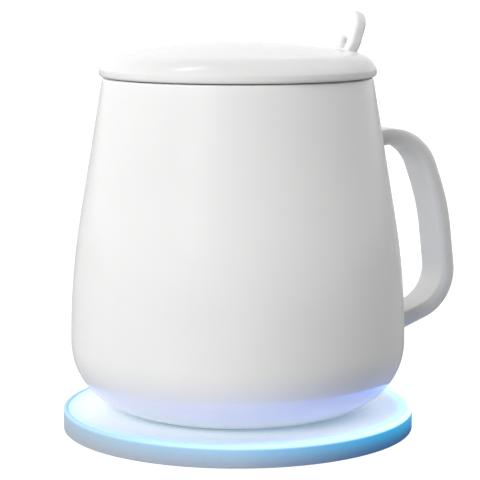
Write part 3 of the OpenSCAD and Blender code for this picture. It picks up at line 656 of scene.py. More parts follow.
def scene_object(name, data):
    """A new object in the scene that holds a mesh, a curve, a lamp or a camera."""
    thing = bpy.data.objects.new(name, data)
    bpy.context.scene.collection.objects.link(thing)
    return thing


def evaluated_mesh(source, name):
    """The plain mesh that an object's modifiers make. The object is removed."""
    graph = bpy.context.evaluated_depsgraph_get()
    mesh = bpy.data.meshes.new_from_object(source.evaluated_get(graph))
    mesh.name = name
    bpy.data.objects.remove(source)
    return mesh


def run_tree(source, tree, values, name):
    """Runs a geometry tree on an object and keeps the result as a plain mesh."""
    modifier = source.modifiers.new(tree.name, "NODES")
    modifier.node_group = tree
    for item in tree.interface.items_tree:
        if item.item_type == "SOCKET" and item.in_out == "INPUT" and item.name in values:
            modifier[item.identifier] = values[item.name]
    mesh = evaluated_mesh(source, name)
    if not mesh.polygons:
        raise RuntimeError(f"the tree {tree.name} made no faces for {name}")
    return mesh


def shape_node(tree, kind, inputs=None, options=None):
    """The geometry that a node of a geometry tree gives."""
    return add_node(tree, "GeometryNode" + kind, options, inputs).outputs[0]


def finish_tree(tree, shape, finish, end):
    """Ends a geometry tree with real faces and their material."""
    real = shape_node(tree, "RealizeInstances", {"Geometry": shape})
    set_inputs(tree, end, {0: shape_node(tree, "SetMaterial", {"Geometry": real, "Material": finish})})


def turned_tree():
    """Geometry tree that turns a profile, drawn as radius and height, round the upright axis."""
    if "turned_piece" in bpy.data.node_groups:
        return bpy.data.node_groups["turned_piece"]
    tree, start, end = new_group(
        "turned_piece", {"Profile": "Geometry", "Steps": "Int", "Finish": "Material"}, {"Piece": "Geometry"},
        "GeometryNodeTree")
    given = start.outputs
    guide_r = 10.0 * MM
    profile = shape_node(tree, "MeshToCurve", {"Mesh": given["Profile"]})
    inward = shape_node(tree, "Transform", {"Geometry": profile, "Translation": (-guide_r, 0.0, 0.0)})
    circle = shape_node(tree, "CurvePrimitiveCircle", {"Resolution": given["Steps"], "Radius": guide_r},
                        {"mode": "RADIUS"})
    swept = shape_node(tree, "CurveToMesh", {"Curve": circle, "Profile Curve": inward})
    closed = shape_node(tree, "MergeByDistance", {"Geometry": swept, "Distance": 1e-6})
    finish_tree(tree, closed, given["Finish"], end)
    return tree


def turned_mesh(name, profile, steps, finish, closed=False):
    """A turned solid from points of radius and height."""
    # The sweep puts the profile's second axis along the axis of turning, pointing down
    points = [(r, -z, 0.0) for r, z in profile]
    edges = [(k, k + 1) for k in range(len(points) - 1)]
    if closed:
        edges.append((len(points) - 1, 0))
    source = scene_object(name + "_source", plain_mesh(name + "_profile", points, [], edges))
    return run_tree(source, turned_tree(), {"Steps": steps, "Finish": finish}, name)


def circle_tree():
    """Geometry tree that repeats a part on a circle round the upright axis."""
    if "parts_on_a_circle" in bpy.data.node_groups:
        return bpy.data.node_groups["parts_on_a_circle"]
    tree, start, end = new_group("parts_on_a_circle", {
        "Part": "Geometry", "Count": "Int", "Radius": "Float", "First Angle": "Float", "Finish": "Material",
    }, {"Parts": "Geometry"}, "GeometryNodeTree")
    given = start.outputs
    circle = shape_node(tree, "MeshCircle", {"Vertices": given["Count"], "Radius": given["Radius"]})
    facing = add_node(tree, "FunctionNodeAlignRotationToVector", {"axis": "X", "pivot_axis": "Z"},
                      {"Vector": shape_node(tree, "InputPosition")})
    placed = shape_node(tree, "InstanceOnPoints", {
        "Points": circle, "Instance": given["Part"], "Rotation": facing.outputs[0],
    })
    spin = add_node(tree, "ShaderNodeCombineXYZ", None, {"Z": given["First Angle"]})
    turned = shape_node(tree, "Transform", {"Geometry": placed, "Rotation": spin.outputs[0]})
    finish_tree(tree, turned, given["Finish"], end)
    return tree


def join_meshes(name, meshes):
    """One mesh that holds the faces of several, with the first one's material."""
    work = bmesh.new()
    for mesh in meshes:
        work.from_mesh(mesh)
    joined = mesh_of(work, name)
    joined.materials.append(meshes[0].materials[0])
    return joined


def add_piece(name, mesh, body, nodes, finish=None):
    """Puts a finished mesh in the scene as a piece that stands for CAD nodes."""
    if finish:
        mesh.materials.clear()
        mesh.materials.append(finish)
    piece = scene_object(name, mesh)
    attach(piece, body)
    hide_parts(*nodes)


def dress(node, finish):
    """Gives a CAD node that stays in view its material."""
    slots = frame["nodes"][node].data.materials
    slots.clear()
    slots.append(finish)


# Charging base

def build_pad():
    """Anti-slip pad with round grooves underneath."""
    charger = settings().charger
    radius, low = PAD_HIGH.x, PAD_LOW.z
    deep = low + charger.groove_depth
    edge = 0.2 * MM
    pitch = radius / (charger.groove_count + 1.5)
    # Half the width of a groove at its mouth and at its bed
    mouth = 0.22 * pitch
    bed = 0.6 * mouth
    profile = [(0.0, low)]
    for k in range(charger.groove_count):
        middle = pitch * (k + 1)
        profile += [(middle - mouth, low), (middle - bed, deep), (middle + bed, deep), (middle + mouth, low)]
    profile += arc((radius - edge, low + edge), edge, -90.0, 0.0, 4)
    profile += [(radius, PAD_HIGH.z), (0.0, PAD_HIGH.z)]
    rubber = grain_material(
        "dark_rubber", (0.055, 0.056, 0.058), (0.035, 0.035, 0.037),
        scale=700.0, rough=(0.72, 0.92), bump=0.35)
    mesh = tidy_mesh(turned_mesh("grooved_pad", profile, PLAIN_STEPS, rubber))
    add_piece("grooved_pad", mesh, "base", ["anti_slip_pad"])


def ring_profile(step):
    """The ring's section: chamfered lip, step for the plate and a skirt over the case's edge."""
    charger = settings().charger
    outer, foot, top = -RING_LOW.x, PAD_HIGH.z, RING_HIGH.z
    inner = outer - charger.ring_width
    skirt = outer - charger.skirt_thickness
    chamfer = charger.ring_chamfer
    soft, low_soft = 0.22 * MM, 0.3 * MM
    profile = [(inner, RING_LOW.z), (skirt, RING_LOW.z), (skirt, foot)]
    profile += arc((outer - low_soft, foot + low_soft), low_soft, -90.0, 0.0, 4)
    profile += line((outer, foot + low_soft), (outer, top - chamfer), 6)[1:]
    profile += arc((outer - chamfer, top - chamfer), chamfer, 0.0, 90.0, 8)
    profile += arc((charger.ledge_radius + soft, top - soft), soft, 90.0, 180.0, 4)
    return profile + [(charger.ledge_radius, step), (inner, step)]


def build_ring():
    """Glowing ring with the way in to the socket cut through it."""
    charger = settings().charger
    step = RING_HIGH.z - charger.plate_thickness
    blank = turned_mesh("ring_blank", ring_profile(step), FINE_STEPS, ring_material(), closed=True)
    ring = scene_object("ring_source", blank)
    half = SOCKET_HIGH.x + charger.socket_gap
    middle = -RING_LOW.x - charger.ring_width / 2
    reach = 1.5 * charger.ring_width
    work = bmesh.new()
    add_box(work, (-half, middle - reach, RING_LOW.z - 0.05 * MM), (half, middle + reach, step))
    cutter = scene_object("socket_way", mesh_of(work, "socket_way"))
    cut = ring.modifiers.new("socket_way", "BOOLEAN")
    cut.operation = "DIFFERENCE"
    cut.solver = "EXACT"
    cut.object = cutter
    mesh = evaluated_mesh(ring, "glowing_ring")
    bpy.data.objects.remove(cutter)
    add_piece("glowing_ring", tidy_mesh(mesh, merge=1e-6), "base", ["light_ring"])


def build_plate():
    """Charging plate with a soft edge and the screw bosses under it."""
    charger = settings().charger
    plastic = plate_material()
    radius, low, top = PLATE_HIGH.x, PLATE_LOW.z, PLATE_HIGH.z
    under = top - charger.plate_thickness
    soft = charger.seam_round
    profile = [(0.0, under), (radius, under)]
    profile += arc((radius - soft, top - soft), soft, 0.0, 90.0, 6)
    profile += line((radius - soft, top), (0.0, top), 8) + [(0.0, top)]
    plate = turned_mesh("plate_disc", profile, FINE_STEPS, plastic)

    # The bosses reach a little way into the plate
    bore, boss_r, boss_top = charger.boss_bore, charger.boss_radius, under + 0.2 * MM
    edge = 0.25 * MM
    boss = [(bore, low)] + arc((boss_r - edge, low + edge), edge, -90.0, 0.0, 4)
    boss += [(boss_r, boss_top), (bore, boss_top)]
    one = scene_object("boss_source", turned_mesh("boss", boss, SMALL_STEPS, plastic, closed=True))
    bosses = run_tree(one, circle_tree(), {
        "Count": charger.boss_count, "Radius": charger.boss_circle,
        "First Angle": math.pi / charger.boss_count, "Finish": plastic,
    }, "plate_bosses")
    mesh = tidy_mesh(join_meshes("charging_plate", [plate, bosses]))
    add_piece("charging_plate", mesh, "base", ["top_plate"])


def diode_mesh(size):
    """One diode's housing, with a window let into the face that looks out."""
    edge, border, sunk = 0.12 * MM, 0.2 * MM, 0.15 * MM
    work = bmesh.new()
    add_box(work, -size / 2, size / 2)
    bmesh.ops.bevel(work, geom=work.edges[:], offset=edge, segments=2, affect="EDGES", profile=0.5)
    face = max(work.faces, key=lambda f: f.calc_center_median().x)
    if not bmesh.ops.inset_region(work, faces=[face], thickness=border, depth=0.0)["faces"]:
        raise RuntimeError("the diode's window wasn't cut")
    bmesh.ops.translate(work, verts=face.verts, vec=(-sunk, 0.0, 0.0))
    middle = (BOARD_HIGH.z + DIODE_HIGH.z) / 2
    bmesh.ops.translate(work, verts=work.verts, vec=(0.0, 0.0, middle))
    return mesh_of(work, "diode")


def build_diodes():
    """Light-emitting diodes on the board's edge: white housings with their windows facing out."""
    count = settings().charger.diode_count
    size = Vector((1.2, 3.0, 1.2)) * MM
    edge_gap = 0.1 * MM
    source = scene_object("diode_source", diode_mesh(size))
    diodes = run_tree(source, circle_tree(), {
        "Count": count, "Radius": BOARD_HIGH.y - edge_gap - size.x / 2,
        "First Angle": math.pi / count, "Finish": diode_material(),
    }, "edge_diodes")
    add_piece("edge_diodes", tidy_mesh(diodes), "base", ["ring_leds"])


# Mug

class MugShape:
    """Levels, walls and arcs of the mug's section, as the CAD model has them."""

    def __init__(self):
        mug = settings().mug
        self.mug = mug
        self.lip_r = mug.wall / 2
        self.lip = (mug.rim_radius - self.lip_r, MUG_HIGH.z - self.lip_r)
        self.foot = MUG_LOW.z
        self.floor = POCKET_ROOF + mug.floor_thickness
        self.outer_belly, self.outer_corner, self.widest = self.arcs(1, self.foot, mug.corner_radius)
        self.inner_belly, self.inner_corner, _ = self.arcs(-1, self.floor, mug.inner_corner_radius)

    def wall_radius(self, z, side=1):
        """Radius of the straight wall's outer (1) or inner (-1) face at a height."""
        lean = self.mug.lean
        return self.lip[0] + side * self.lip_r / math.cos(lean) + (self.lip[1] - z) * math.tan(lean)

    def arcs(self, side, level, corner):
        """Centres of the belly's arc and the lower corner's arc, and the largest radius they reach."""
        lean, belly = self.mug.lean, self.mug.belly_radius
        join = level + corner + belly * math.sin(lean)
        largest = self.wall_radius(join, side) + belly * (1.0 - math.cos(lean))
        return (largest - belly, level + corner), (largest - corner, level + corner), largest

    def rim_edge(self, radius, side):
        """Centre of the edge arc between the rim and the wall's outer (1) or inner (-1) face."""
        lean = self.mug.lean
        outward = Vector((math.cos(lean), math.sin(lean)))
        face = outward.dot(Vector(self.lip)) + self.lip_r
        z = MUG_HIGH.z - radius
        inset = radius if side > 0 else self.mug.wall - radius
        return ((face - inset - z * outward.y) / outward.x, z)

    def clearance(self, point):
        """Distance of a point from the mug's outer face, negative inside it."""
        lean, belly, corner = self.mug.lean, self.outer_belly, self.outer_corner
        out, z = math.hypot(point[0], point[1]), point[2]
        if z >= corner[1] + self.mug.belly_radius * math.sin(lean):
            return (out - self.wall_radius(z)) * math.cos(lean)
        if z >= corner[1]:
            return math.hypot(out - belly[0], z - belly[1]) - self.mug.belly_radius
        return math.hypot(out - corner[0], z - corner[1]) - self.mug.corner_radius

    def profile(self):
        """The section, from the roof of the heating pocket round the foot, wall and rim to the floor."""
        mug = self.mug
        lean = math.degrees(mug.lean)
        pocket_r, seat_r = FERRITE_R + 0.4 * MM, COVER_HIGH.y + 0.1 * MM
        edge = 0.4 * MM
        points = [(0.0, POCKET_ROOF), (pocket_r, POCKET_ROOF), (pocket_r, GASKET_TOP), (seat_r, GASKET_TOP)]
        points += arc((seat_r + edge, self.foot + edge), edge, 180.0, 270.0, 5)
        points += arc(self.outer_corner, mug.corner_radius, -90.0, 0.0, 30)
        points += arc(self.outer_belly, mug.belly_radius, 0.0, lean, 24)[1:]
        rim = arc(self.rim_edge(mug.rim_outer_edge, 1), mug.rim_outer_edge, lean, 90.0, 8)
        points += line(points[-1], rim[0], 12) + rim
        points += arc(self.rim_edge(mug.rim_inner_edge, -1), mug.rim_inner_edge, 90.0, lean + 180.0, 12)
        inside = arc(self.inner_belly, mug.belly_radius, lean, 0.0, 20)
        points += line(points[-1], inside[0], 10) + inside
        points += arc(self.inner_corner, mug.inner_corner_radius, 0.0, -90.0, 20)[1:]
        points += line(points[-1], (0.0, self.floor), 6)
        return points + [(0.0, self.floor)]


def build_mug():
    """Glazed mug body, turned from its section."""
    bare_height = 0.5 * MM
    finish = glaze_material("white_glaze_mug", MUG_LOW.z + bare_height)
    mesh = tidy_mesh(turned_mesh("glazed_mug", MugShape().profile(), FINE_STEPS, finish))
    add_piece("glazed_mug", mesh, "cup", ["mug_body"])


def build_cover():
    """Bottom cover of the heating module, with a soft edge and a shallow round step."""
    radius, low = COVER_HIGH.y, COVER_LOW.z
    soft, depth = 0.3 * MM, 0.25 * MM
    step_r = 0.78 * radius
    profile = [(0.0, low + depth), (step_r - depth, low + depth), (step_r, low)]
    profile += arc((radius - soft, low + soft), soft, -90.0, 0.0, 5)
    profile += [(radius, COVER_HIGH.z), (0.0, COVER_HIGH.z)]
    plastic = grain_material(
        "grey_cover_plastic", (0.62, 0.62, 0.61), (0.56, 0.56, 0.56),
        scale=900.0, rough=(0.4, 0.56), bump=0.12)
    mesh = tidy_mesh(turned_mesh("bottom_cover_disc", profile, PLAIN_STEPS, plastic))
    add_piece("bottom_cover_disc", mesh, "cup", ["mug_bottom_cover"])


# Handle

class StrapPath:
    """Middle line of the handle's strap in the XZ plane: straight runs with bends between them."""

    def __init__(self, corners, bends):
        self.runs = []
        self.length = 0.0
        corners = [np.array(c) for c in corners]
        steps = [b - a for a, b in zip(corners, corners[1:])]
        headings = [math.atan2(s[1], s[0]) for s in steps]
        start = corners[0]
        for k, radius in enumerate(bends):
            bend = (headings[k] - headings[k + 1]) % (2.0 * math.pi)
            cut = radius * math.tan(bend / 2.0)
            entry = corners[k + 1] - cut * self.along(headings[k])
            self.add_run(start, headings[k], float(np.linalg.norm(entry - start)), None)
            self.add_run(entry, headings[k], radius * bend, radius)
            start = corners[k + 1] + cut * self.along(headings[k + 1])
        self.add_run(start, headings[-1], float(np.linalg.norm(corners[-1] - start)), None)

    @staticmethod
    def along(heading):
        """Direction of a heading."""
        return np.array([math.cos(heading), math.sin(heading)])

    @staticmethod
    def outward(heading):
        """Direction square to a heading, away from the mug."""
        return np.array([-math.sin(heading), math.cos(heading)])

    def add_run(self, start, heading, run_length, radius):
        """Adds a straight run, or a bend where there is a radius."""
        self.runs.append((self.length, start, heading, radius))
        self.length += run_length

    def at(self, place):
        """Point and outward direction, both in the XZ plane, at a distance along the path."""
        begun, start, heading, radius = [run for run in self.runs if run[0] <= max(place, 0.0)][-1]
        gone = place - begun
        if radius is None:
            return start + gone * self.along(heading), self.outward(heading)
        centre = start - radius * self.outward(heading)
        now = heading - gone / radius
        return centre + radius * self.outward(now), self.outward(now)


def strap_path(shape):
    """The handle's path, from its upper root in the mug's wall to its lower one."""
    handle = settings().handle
    foot = shape.foot
    top_root, top_corner, grip = foot + handle.top_root, foot + handle.top_corner, foot + handle.grip_height
    corners = [
        (shape.wall_radius(top_root) - handle.embed, top_root),
        (shape.wall_radius(top_corner) + handle.top_reach, top_corner),
        (shape.wall_radius(grip) + handle.grip_reach, grip),
        (shape.widest + handle.low_reach, foot + handle.low_corner),
        (shape.widest - handle.embed, foot + handle.low_root),
    ]
    return StrapPath(corners, [handle.top_bend, handle.grip_bend, handle.low_bend])


def strap_section():
    """Outline of the strap: points across its width and thickness, with their outward directions."""
    handle = settings().handle
    half_w, half_t = handle.width / 2, handle.thickness / 2
    outline = []
    corners = [
        (1, 1, handle.outer_edge, 0.0), (-1, 1, handle.outer_edge, 90.0),
        (-1, -1, handle.inner_edge, 180.0), (1, -1, handle.inner_edge, 270.0),
    ]
    for side_w, side_t, edge, start in corners:
        centre = np.array([side_w * (half_w - edge), side_t * (half_t - edge)])
        for angle in np.radians(np.linspace(start, start + 90.0, 9)):
            normal = np.array([math.cos(angle), math.sin(angle)])
            outline.append((centre + edge * normal, normal))
    return outline


def strap_point(path, place, spot, normal, flare=0.0):
    """A point of the strap's skin, moved outwards by a flare."""
    middle, outward = path.at(place)
    across, through = spot + normal * flare
    flat = middle + outward * through
    return np.array([flat[0], across, flat[1]])


def root_rows(shape, path, near, far):
    """Rows of the fillet from inside the mug's wall to where the plain strap begins, as places and points."""
    fillet = settings().handle.root_fillet
    # Depths of the rows, as shares of the fillet's radius
    shares = (-0.4, 0.0, 0.03, 0.08, 0.15, 0.25, 0.38, 0.55, 0.76, 1.0)
    halvings = 50

    def settle(spot, normal, flare, depth):
        """Distance along the path at which a point of the skin clears the mug by a depth."""
        inside, outside = near, far
        for _ in range(halvings):
            half = (inside + outside) / 2.0
            if shape.clearance(strap_point(path, half, spot, normal, flare)) > depth:
                outside = half
            else:
                inside = half
        return half

    rows = []
    for share in shares:
        depth = share * fillet
        rise = fillet - max(depth, 0.0)
        flare = fillet - math.sqrt(max(fillet * fillet - rise * rise, 0.0))
        row = []
        for spot, normal in strap_section():
            place = settle(spot, normal, flare, depth)
            row.append((place, strap_point(path, place, spot, normal, flare)))
        rows.append(row)
    return rows


def build_handle():
    """Strap handle, swept along its bent path and run into the mug by a small fillet."""
    shape = MugShape()
    path = strap_path(shape)
    section = strap_section()
    # The fillets are looked for from a little outside the path's ends to well along it
    before, within = 2.0 * MM, 14.0 * MM
    upper = root_rows(shape, path, -before, within)
    lower = root_rows(shape, path, path.length + before, path.length - within)
    gap, plain_rows = 0.6 * MM, 110
    first = max(place for place, point in upper[-1]) + gap
    last = min(place for place, point in lower[-1]) - gap
    rows = [[point for place, point in row] for row in upper]
    for place in np.linspace(first, last, plain_rows):
        rows.append([strap_point(path, place, spot, normal) for spot, normal in section])
    rows += [[point for place, point in row] for row in reversed(lower)]

    count = len(section)
    points = [tuple(point) for row in rows for point in row]
    faces = [tuple(range(count)), tuple(range(len(points) - 1, len(points) - 1 - count, -1))]
    faces += strip_faces(len(rows), count, closed=True)
    mesh = tidy_mesh(plain_mesh("strap_handle", points, faces), sharp=60.0)
    add_piece("strap_handle", mesh, "cup", ["mug_handle"], glaze_material())


# Lid

def lid_arcs():
    """Centres of the shoulder's and the edge's arcs, and the angles where the shoulder begins and ends."""
    lid = settings().lid
    dome_r, shoulder_r, edge_r = lid.dome_radius, lid.shoulder_radius, lid.edge_radius
    dome_c = Vector((0.0, LID_HIGH.z - dome_r))
    edge_c = Vector((-LID_LOW.x - edge_r, LID_HIGH.z - lid.rise + edge_r))
    across = edge_c - dome_c
    far = across.length
    along = ((dome_r - shoulder_r) ** 2 - (shoulder_r - edge_r) ** 2 + far * far) / (2.0 * far)
    aside = math.sqrt((dome_r - shoulder_r) ** 2 - along * along)
    across.normalize()
    shoulder_c = dome_c + along * across + aside * Vector((-across.y, across.x))
    rise, fall = shoulder_c - dome_c, edge_c - shoulder_c
    begin, end = (math.degrees(math.atan2(way.y, way.x)) for way in (rise, fall))
    return shoulder_c, edge_c, begin, end


def lid_profile():
    """The lid's section, from the top of the dome round its edge and flange to the top of the hollow."""
    lid = settings().lid
    shoulder_c, edge_c, shoulder_from, shoulder_to = lid_arcs()
    outside, inside = lid.dome_radius, lid.dome_radius - lid.wall
    bottom, low = LID_HIGH.z - lid.rise, LID_LOW.z
    flange, lower = lid.flange_radius, lid.lower_edge
    inner = flange - lid.flange_thickness
    # Radii of the flange's soft corners: where it leaves the lid, at its tip and under the dome
    root, tip, hollow = 0.6 * MM, 0.9 * MM, 1.2 * MM
    # Distances from the axis that lie close together, round the notch's inner end
    dense = lid.notch_centre - lid.notch_width / 2 - 1.2 * MM + np.linspace(0.0, 7.0, 24) * MM

    def dome(shell_r, out):
        """A point of the dome's outer or inner face at a distance from the axis."""
        return (out, LID_HIGH.z - lid.dome_radius + math.sqrt(shell_r * shell_r - out * out))

    # The dome's close points stop short of the shoulder outside, and of the flange's corner inside
    dome_end = outside * math.cos(math.radians(shoulder_from)) - 0.2 * MM
    hollow_end = inner - 1.15 * hollow
    points = [dome(outside, r) for r in np.linspace(0.0, dense[0], 22)[:-1]]
    points += [dome(outside, r) for r in dense if r < dome_end]
    points += arc(shoulder_c, lid.shoulder_radius, shoulder_from, shoulder_to, 16)
    points += arc(edge_c, lid.edge_radius, shoulder_to, 0.0, 8)[1:]
    points += arc((-LID_LOW.x - lower, bottom + lower), lower, 0.0, -90.0, 9)
    points += line(points[-1], (flange + root, bottom), 5)
    points += arc((flange + root, bottom - root), root, 90.0, 180.0, 5)
    points += line(points[-1], (flange, low + tip), 4)
    points += arc((flange - tip, low + tip), tip, 0.0, -90.0, 7)
    points += arc((inner + tip, low + tip), tip, -90.0, -180.0, 7)
    roof = dome(inside, inner - hollow)[1]
    points += line(points[-1], (inner, roof - hollow), 6)
    points += arc((inner - hollow, roof - hollow), hollow, 0.0, 82.0, 6)
    points += [dome(inside, r) for r in dense[::-1] if r < hollow_end]
    points += [dome(inside, r) for r in np.linspace(dense[0], 0.0, 22)[1:]]
    return np.array(points)


class Notch:
    """The lid's round-ended notch for the spoon, seen from above."""

    def __init__(self):
        lid = settings().lid
        self.half = lid.notch_width / 2
        self.centre = lid.notch_centre
        self.soft = lid.notch_round
        self.quarter = self.half * math.pi / 2.0

    def angle(self, out):
        """Angle from the notch's middle to its wall at a distance from the axis."""
        half, centre = self.half, self.centre
        if out <= centre - half:
            return 0.0
        if out >= math.hypot(centre, half):
            return math.asin(half / out)
        return math.acos(min(1.0, (out * out + centre * centre - half * half) / (2.0 * centre * out)))

    def distance(self, x, y):
        """Distance of a point from the notch's wall."""
        return math.hypot(x - self.centre, y) - self.half if x < self.centre else abs(y) - self.half

    def edge_points(self, out, z, normal, steps, side):
        """Points of a row beside the notch, let down along its round edge."""
        row = []
        for step in steps:
            angle = self.angle(out) + step / out
            gap = self.distance(out * math.cos(angle), out * math.sin(angle))
            if out > self.centre and math.cos(angle) > 0.0:
                gap = step
            lift = max(self.soft - max(gap, 0.0), 0.0)
            drop = self.soft - math.sqrt(max(self.soft * self.soft - lift * lift, 0.0))
            moved_r = out - normal[0] * drop
            moved = self.angle(moved_r) + step / moved_r
            row.append((moved_r * math.cos(moved), side * moved_r * math.sin(moved), z - normal[1] * drop))
        return row

    def unrolled(self, point):
        """Place along the notch's wall, and height, of a point on it."""
        x, y, z = point
        side = -1.0 if y < 0.0 else 1.0
        if x < self.centre:
            return Vector((side * self.half * math.atan2(abs(y), self.centre - x), z))
        return Vector((side * (self.quarter + x - self.centre), z))

    def rolled(self, place, z):
        """The point at a place along the notch's wall and a height."""
        side = -1.0 if place < 0.0 else 1.0
        if abs(place) < self.quarter:
            angle = abs(place) / self.half
            return (self.centre - self.half * math.cos(angle), side * self.half * math.sin(angle), z)
        return (self.centre + abs(place) - self.quarter, side * self.half, z)


def lid_rows(notch):
    """Rows of points round the lid from one side of the notch to the other, one for each section point."""
    section = lid_profile()
    run = np.gradient(section, axis=0)
    run[0], run[-1] = (1.0, 0.0), (-1.0, 0.0)
    run /= np.linalg.norm(run, axis=1)[:, None]
    # Distances of the close points from the notch, which draw together inside the crowding radius
    near = np.array([0.0, 0.02, 0.06, 0.12, 0.2, 0.32, 0.46, 0.62, 0.8, 1.1, 1.7, 2.6]) * MM
    crowding_r = 12.0 * MM
    # Gaps between points round the rest of the lid
    far_count = 160
    rows = []
    for (out, z), (run_r, run_z) in zip(section, run):
        if out < 1e-6:
            rows.append([(0.0, 0.0, z)] * (2 * len(near) + far_count - 1))
            continue
        steps = near * min(1.0, out / crowding_r)
        first = notch.angle(out) + steps[-1] / out
        angles = np.linspace(first, 2.0 * math.pi - first, far_count + 1)[1:-1]
        one, other = (notch.edge_points(out, z, (-run_z, run_r), steps, side) for side in (1, -1))
        rows.append(one + [(out * math.cos(a), out * math.sin(a), z) for a in angles] + other[::-1])
    return rows


def notch_wall(notch, points, wide):
    """Faces of the notch's wall, unrolled flat to be filled and rolled up again. Adds their points."""
    row_count = len(points) // wide
    inner_end = notch.centre - notch.half + 1e-6
    inside = [k for k in range(row_count) if math.hypot(*points[k * wide][:2]) > inner_end]
    right = [k * wide for k in range(inside[0] - 1, inside[-1] + 2)]
    left = [k * wide + wide - 1 for k in reversed(inside)]
    loop = right + left
    flat = [notch.unrolled(points[k]) for k in loop]
    count = len(flat)
    reach = max(p.x for p in flat)
    lowest, highest = min(p.y for p in flat), max(p.y for p in flat)
    spacing = 0.9 * MM
    seeds = [
        Vector((x, y))
        for x in np.arange(-reach, reach, spacing)
        for y in np.arange(lowest, highest, spacing)
        if min((p - Vector((x, y))).length for p in flat) > 0.5 * spacing
    ]
    result = delaunay_2d_cdt(flat + seeds, [], [list(range(count))], 1, 1e-9)
    made, triangles, origins = result[0], result[2], result[3]
    index = []
    for spot, source in zip(made, origins):
        outline = [s for s in source if s < count]
        if outline:
            index.append(loop[outline[0]])
        else:
            index.append(len(points))
            points.append(notch.rolled(spot.x, spot.y))
    return [tuple(index[v] for v in triangle) for triangle in triangles]


def build_lid():
    """Domed lid with a flange and a round-ended notch whose edges are softened."""
    notch = Notch()
    rows = lid_rows(notch)
    wide = len(rows[0])
    points = [point for row in rows for point in row]
    faces = strip_faces(len(rows), wide, closed=False) + notch_wall(notch, points, wide)
    mesh = tidy_mesh(plain_mesh("domed_lid", points, faces), merge=1e-6, sharp=60.0)
    add_piece("domed_lid", mesh, "lid", ["lid"], glaze_material())


# Spoon

def spoon_stem():
    """The stem as a flat outline with a hole, thickened with round edges."""
    spoon = settings().spoon
    half_stem, half_end = spoon.stem_width / 2, spoon.paddle_width / 2
    start = spoon.bowl_length - spoon.bowl_wall
    neck, neck_top = spoon.neck_length, spoon.whole - spoon.paddle_length
    right = [(half_stem, start), (half_stem, neck_top - neck)]
    for share in np.linspace(0.0, 1.0, 9)[1:]:
        ease = share * share * (3.0 - 2.0 * share)
        right.append((half_stem + (half_end - half_stem) * ease, neck_top - neck * (1.0 - share)))
    right += arc((0.0, spoon.whole - half_end), half_end, 0.0, 90.0, 16)
    outline = right + [(-x, y) for x, y in reversed(right[:-1])]
    hole = arc((0.0, spoon.whole - spoon.hole_place), spoon.hole_radius, 0.0, 360.0, 40)[:-1]
    curve = bpy.data.curves.new("spoon_stem", "CURVE")
    curve.dimensions = "2D"
    curve.fill_mode = "BOTH"
    curve.bevel_depth = spoon.edge_round
    curve.bevel_resolution = 4
    curve.offset = -spoon.edge_round
    curve.extrude = spoon.thickness / 2 - spoon.edge_round
    for loop in (outline, hole):
        spline = curve.splines.new("POLY")
        spline.points.add(len(loop) - 1)
        for point, (x, y) in zip(spline.points, loop):
            point.co = (x, y, 0.0, 1.0)
        spline.use_cyclic_u = True
    return evaluated_mesh(scene_object("spoon_stem", curve), "spoon_stem")


def spoon_bowl():
    """The bowl as a closed shell between an outer and an inner curve."""
    spoon = settings().spoon
    depth = spoon.bowl_depth
    across = (spoon.bowl_width ** 2 / 4.0 + depth ** 2) / (2.0 * depth)
    lengthwise = (spoon.bowl_length ** 2 / 4.0 + depth ** 2) / (2.0 * depth)
    above = across - depth
    rim = spoon.thickness / 2
    middle = spoon.bowl_length / 2
    long_steps, cross_steps = 40, 24

    def shell(shrink):
        """Rows of points of the outer curve, or of one that lies inside it."""
        reach = math.sqrt((lengthwise - shrink) ** 2 - (lengthwise - across + above) ** 2)
        grid = []
        for i in range(long_steps + 1):
            y = -reach * math.cos(math.pi * i / long_steps)
            radius = across - lengthwise + math.sqrt((lengthwise - shrink) ** 2 - y * y)
            widest = math.acos(min(1.0, above / radius))
            for j in range(cross_steps + 1):
                angle = widest * (2.0 * j / cross_steps - 1.0)
                grid.append((radius * math.sin(angle), middle + y, rim + above - radius * math.cos(angle)))
        return grid

    outer = shell(0.0)
    wide, shift = cross_steps + 1, len(outer)
    faces = strip_faces(long_steps + 1, wide, closed=False)
    faces += [(a + shift, d + shift, c + shift, b + shift) for a, b, c, d in faces]
    for i in range(long_steps):
        for a in (i * wide, i * wide + cross_steps):
            faces.append((a, a + wide, a + wide + shift, a + shift))
    return tidy_mesh(plain_mesh("spoon_bowl", outer + shell(spoon.bowl_wall), faces), merge=1e-6)


def build_spoon():
    """Ceramic spoon: stem and bowl grown together, then laid into the mug."""
    spoon = settings().spoon
    work = bmesh.new()
    work.from_mesh(spoon_stem())
    bmesh.ops.remove_doubles(work, verts=work.verts, dist=1e-6)
    bmesh.ops.recalc_face_normals(work, faces=work.faces)
    work.from_mesh(spoon_bowl())
    source = scene_object("spoon_rough", mesh_of(work, "spoon_rough"))
    grown = source.modifiers.new("one_skin", "REMESH")
    grown.mode = "VOXEL"
    grown.voxel_size = 0.32 * MM
    smooth = source.modifiers.new("soft_joins", "SMOOTH")
    smooth.factor = 0.5
    smooth.iterations = 5
    mesh = evaluated_mesh(source, "stirring_spoon")
    lean = math.atan2(SPOON_AXIS.x, SPOON_AXIS.z)
    for vert in mesh.vertices:
        x, y, z = vert.co
        vert.co = (
            -z * math.cos(lean) + y * math.sin(lean) + spoon.tip_x,
            -x,
            z * math.sin(lean) + y * math.cos(lean) + spoon.tip_z,
        )
    tidy_mesh(mesh, sharp=70.0)
    add_piece("stirring_spoon", mesh, "spoon", ["spoon"], glaze_material())


# Pieces that stay as the CAD model has them

